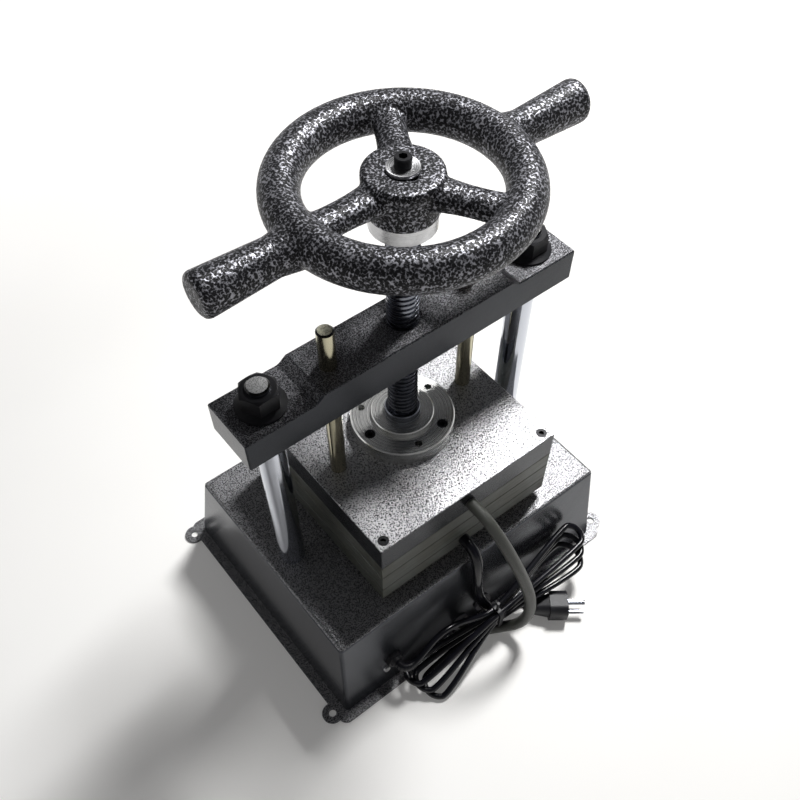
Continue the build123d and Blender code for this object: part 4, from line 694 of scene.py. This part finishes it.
def make_wheel():
    """The rim, spokes, hub and handles as one casting, whose corners flow into each other."""
    wheel = mesh_piece("wheel_casting", casting_start())
    remesh = wheel.modifiers.new("remesh", "REMESH")
    remesh.mode, remesh.voxel_size = "VOXEL", CASTING_VOXEL
    seen = wheel.evaluated_get(bpy.context.evaluated_depsgraph_get())
    mesh = bpy.data.meshes.new_from_object(seen)
    wheel.modifiers.clear()
    wheel.data = mesh
    bm = bmesh.new()
    bm.from_mesh(mesh)
    all_axes = {"use_axis_" + axis: True for axis in "xyz"}
    for _ in range(CASTING_SMOOTHS):
        bmesh.ops.smooth_vert(bm, verts=bm.verts, factor=0.5, **all_axes)
    bm.to_mesh(mesh)
    bm.free()
    smooth(mesh)
    finish_piece(wheel, "screw", "hammered_wheel", "hand_wheel", "handle_left", "handle_right")


def make_hub_band():
    """The machined foot of the hub, bare below the paint."""
    bm = bmesh.new()
    lathe(bm, [
        (HUB_BORE_R, HUB_BOTTOM_Z), (HUB_BAND_R - HUB_BAND_BEVEL, HUB_BOTTOM_Z),
        (HUB_BAND_R, HUB_BOTTOM_Z + HUB_BAND_BEVEL), (HUB_BAND_R, HUB_BAND_TOP_Z + HUB_BAND_SEAT),
        (HUB_BORE_R, HUB_BAND_TOP_Z + HUB_BAND_SEAT),
    ])
    finish_piece(mesh_piece("hub_band", bm), "screw", "bare_steel")


# ---------------------------------------------------------------- lead screw

SCREW_TIP_Z, COLLAR_Z, COLLAR_TOP_Z, SEAT_TOP_Z = 211.2, 242.3, 249.3, 505.0
JOURNAL_R, COLLAR_R, SEAT_R = 10.0, 17.0, 11.0
THREAD_ROOT_R, THREAD_CREST_R, THREAD_PITCH = 11.7, 13.95, 5.0
THREAD_ROOT_HALF, THREAD_CREST_HALF, THREAD_BURY = 1.95, 1.15, 0.1
THREAD_FROM_COLLAR, THREAD_FROM_HUB, HUB_GAP = 2.6, 2.0, 0.2
COLLAR_FOOT_BEVEL, COLLAR_TOP_BEVEL = 0.5, 1.0
NEAR_AXIS_R = 0.01


def make_screw():
    """Trapezoidal thread from the collar to the hub, with the collar and both plain ends."""
    thread_top = HUB_BOTTOM_Z - HUB_GAP
    bm = bmesh.new()
    lathe(bm, [
        (NEAR_AXIS_R, SCREW_TIP_Z), (JOURNAL_R, SCREW_TIP_Z), (JOURNAL_R, COLLAR_Z),
        (COLLAR_R - COLLAR_FOOT_BEVEL, COLLAR_Z), (COLLAR_R, COLLAR_Z + COLLAR_FOOT_BEVEL),
        (COLLAR_R, COLLAR_TOP_Z - COLLAR_TOP_BEVEL), (COLLAR_R - COLLAR_TOP_BEVEL, COLLAR_TOP_Z),
        (THREAD_ROOT_R, COLLAR_TOP_Z), (THREAD_ROOT_R, thread_top), (SEAT_R, thread_top),
        (SEAT_R, SEAT_TOP_Z), (NEAR_AXIS_R, SEAT_TOP_Z),
    ])
    ridge(
        bm, THREAD_ROOT_R - THREAD_BURY, THREAD_CREST_R, THREAD_PITCH,
        COLLAR_TOP_Z + THREAD_FROM_COLLAR, thread_top - THREAD_FROM_HUB,
        THREAD_ROOT_HALF, THREAD_CREST_HALF,
    )
    finish_piece(mesh_piece("screw_thread", bm), "screw", "screw_steel", "lead_screw")


# ---------------------------------------------------------------- controller display and marks

FRONT_SLOPE = radians(13.35)
PANEL_OUT = Vector((0, -cos(FRONT_SLOPE), sin(FRONT_SLOPE)))
PANEL_UP = Vector((0, sin(FRONT_SLOPE), cos(FRONT_SLOPE)))
MARK_RAISE = 0.08
SIGN_SIZE = 6
READING_OUT = 1.05
READINGS = (    # name, size, height above the window's middle, lamp, its colour and strength
    ("reading_now", 11, 5.5, "led_red", (1.0, 0.06, 0.02), 3),
    ("reading_set", 8, -6.5, "led_green", (0.1, 1.0, 0.15), 2),
)
KEY_SIGNS = (("key_set", "set_key", "="), ("key_down", "down_key", "-"), ("key_up", "up_key", "+"))


def panel_text(name, words, size, node, up, out, finish, body):
    """Raised generic figures on a face of the sloped panel, above the middle of that node's box."""
    low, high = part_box(node)
    data = bpy.data.curves.new(name, "FONT")
    data.body, data.size, data.extrude = words, size * MM, MARK_RAISE * MM
    data.align_x, data.align_y = "CENTER", "CENTER"
    data.materials.append(finish)
    piece = add_object(name, data)
    turn = Matrix((Vector((1, 0, 0)), PANEL_UP, PANEL_OUT)).transposed().to_4x4()
    centre = (low + high) / 2 + up * MM * PANEL_UP + out * MM * PANEL_OUT
    piece.matrix_world = Matrix.Translation(centre) @ turn
    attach(piece, body)


def make_marks():
    """Plain figures in the controller's window and a plain sign on each key."""
    for name, size, up, lamp, colour, strength in READINGS:
        lit = glowing(lamp, colour, strength)
        panel_text(name, "150", size, "controller_window", up, READING_OUT, lit, "root")
    white = speckled("mark_white", (0.8, 0.8, 0.8), 0.5, 2000, 1e-5, contrast=0.9)
    for node, body, sign in KEY_SIGNS:
        low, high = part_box(node)
        out = (high.y - low.y) / MM / 2
        panel_text("sign_" + node, sign, SIGN_SIZE, node, 0, out, white, body)


# ---------------------------------------------------------------- floor, sky and lamps

WORLD_HORIZON, WORLD_ZENITH, WORLD_ZENITH_BLUE = 0.75, 0.08, 0.0832
WORLD_HORIZON_END, WORLD_ZENITH_START = 0.12, 0.50
FLOOR_HALF, FLOOR_DROP = 5, 0.0003
FLOOR_TONES = [(0.3, (0.85, 0.840, 0.818)), (0.7, (0.87, 0.862, 0.842))]
FLOOR_GLOW_COLOUR = (1, 0.985, 0.965)
# Painted shade: the floor's glow is lower near the object than far from it.
FLOOR_GLOW_NEAR, FLOOR_GLOW_FAR = 0.10, 0.60
FLOOR_GLOW_FROM, FLOOR_GLOW_TO = 0.5, 1.3    # distances from the object


def make_floor():
    """Pale paper whose glow is weak near the object and strong far from it, a painted shade round the
    object that keeps its shadow dark while the far floor is white.
    """
    bm = bmesh.new()
    place = Matrix.Translation((0, 0, -FLOOR_DROP))
    bmesh.ops.create_grid(bm, x_segments=2, y_segments=2, size=FLOOR_HALF, matrix=place)
    floor = mesh_piece("floor", bm)
    finish = Finish("floor_paper", (0.86, 0.86, 0.86), 0.9)
    finish.to("Base Color", finish.ramp(finish.noise(3, 2), FLOOR_TONES))
    rays = finish.tree.nodes.new("ShaderNodeLightPath").outputs
    seen = finish.math("MAXIMUM", rays["Is Camera Ray"], rays["Is Glossy Ray"])
    seen = finish.math("MAXIMUM", seen, rays["Is Transmission Ray"])
    finish.shader.inputs["Emission Color"].default_value = (*FLOOR_GLOW_COLOUR, 1)
    away = finish.node("VectorMath", {0: finish.place}, "Value", operation="LENGTH")
    stops = [(FLOOR_GLOW_FROM / 2, FLOOR_GLOW_NEAR), (FLOOR_GLOW_TO / 2, FLOOR_GLOW_FAR)]
    glow = finish.ramp(finish.math("MULTIPLY", away, 0.5), stops)
    finish.to("Emission Strength", finish.math("MULTIPLY", seen, glow))
    floor.data.materials.append(finish.material)


def make_world():
    """A pale horizon that darkens overhead."""
    world = bpy.data.worlds.new("studio")
    bpy.context.scene.world = world
    world.use_nodes = True
    tree = world.node_tree
    coordinates = tree.nodes.new("ShaderNodeTexCoord")
    split = tree.nodes.new("ShaderNodeSeparateXYZ")
    ramp = tree.nodes.new("ShaderNodeValToRGB")
    tree.links.new(coordinates.outputs["Generated"], split.inputs[0])
    tree.links.new(split.outputs[2], ramp.inputs[0])
    tree.links.new(ramp.outputs[0], tree.nodes["Background"].inputs[0])
    low, high = ramp.color_ramp.elements
    low.position, low.color = WORLD_HORIZON_END, (WORLD_HORIZON,) * 3 + (1,)
    high.position, high.color = WORLD_ZENITH_START, (WORLD_ZENITH, WORLD_ZENITH, WORLD_ZENITH_BLUE, 1)


def softbox(name, place, aim, size, watts):
    """A rectangular lamp that faces the point aim."""
    data = bpy.data.lights.new(name, "AREA")
    data.shape, data.size, data.size_y, data.energy = "RECTANGLE", size[0], size[1], watts
    lamp = add_object(name, data)
    lamp.location = place
    lamp.rotation_euler = (Vector(aim) - Vector(place)).to_track_quat("-Z", "Y").to_euler()


def make_lamps():
    softbox("key_lamp", (-0.64, -0.18, 1.45), (0, 0, 0.25), (0.26, 0.30), 29)
    softbox("side_lamp", (1.20, -0.60, 1.00), (0, 0, 0.3), (0.6, 0.9), 0.8)
    softbox("fill_lamp", (0.2, 1.5, 1.2), (0, 0, 0.2), (1.2, 0.8), 0.4)


# ---------------------------------------------------------------- scene

make_camera()
make_cords()
dress_nodes()
make_wheel()
make_hub_band()
make_screw()
make_marks()
make_floor()
make_world()
make_lamps()
bpy.context.scene.view_settings.view_transform = "Standard"
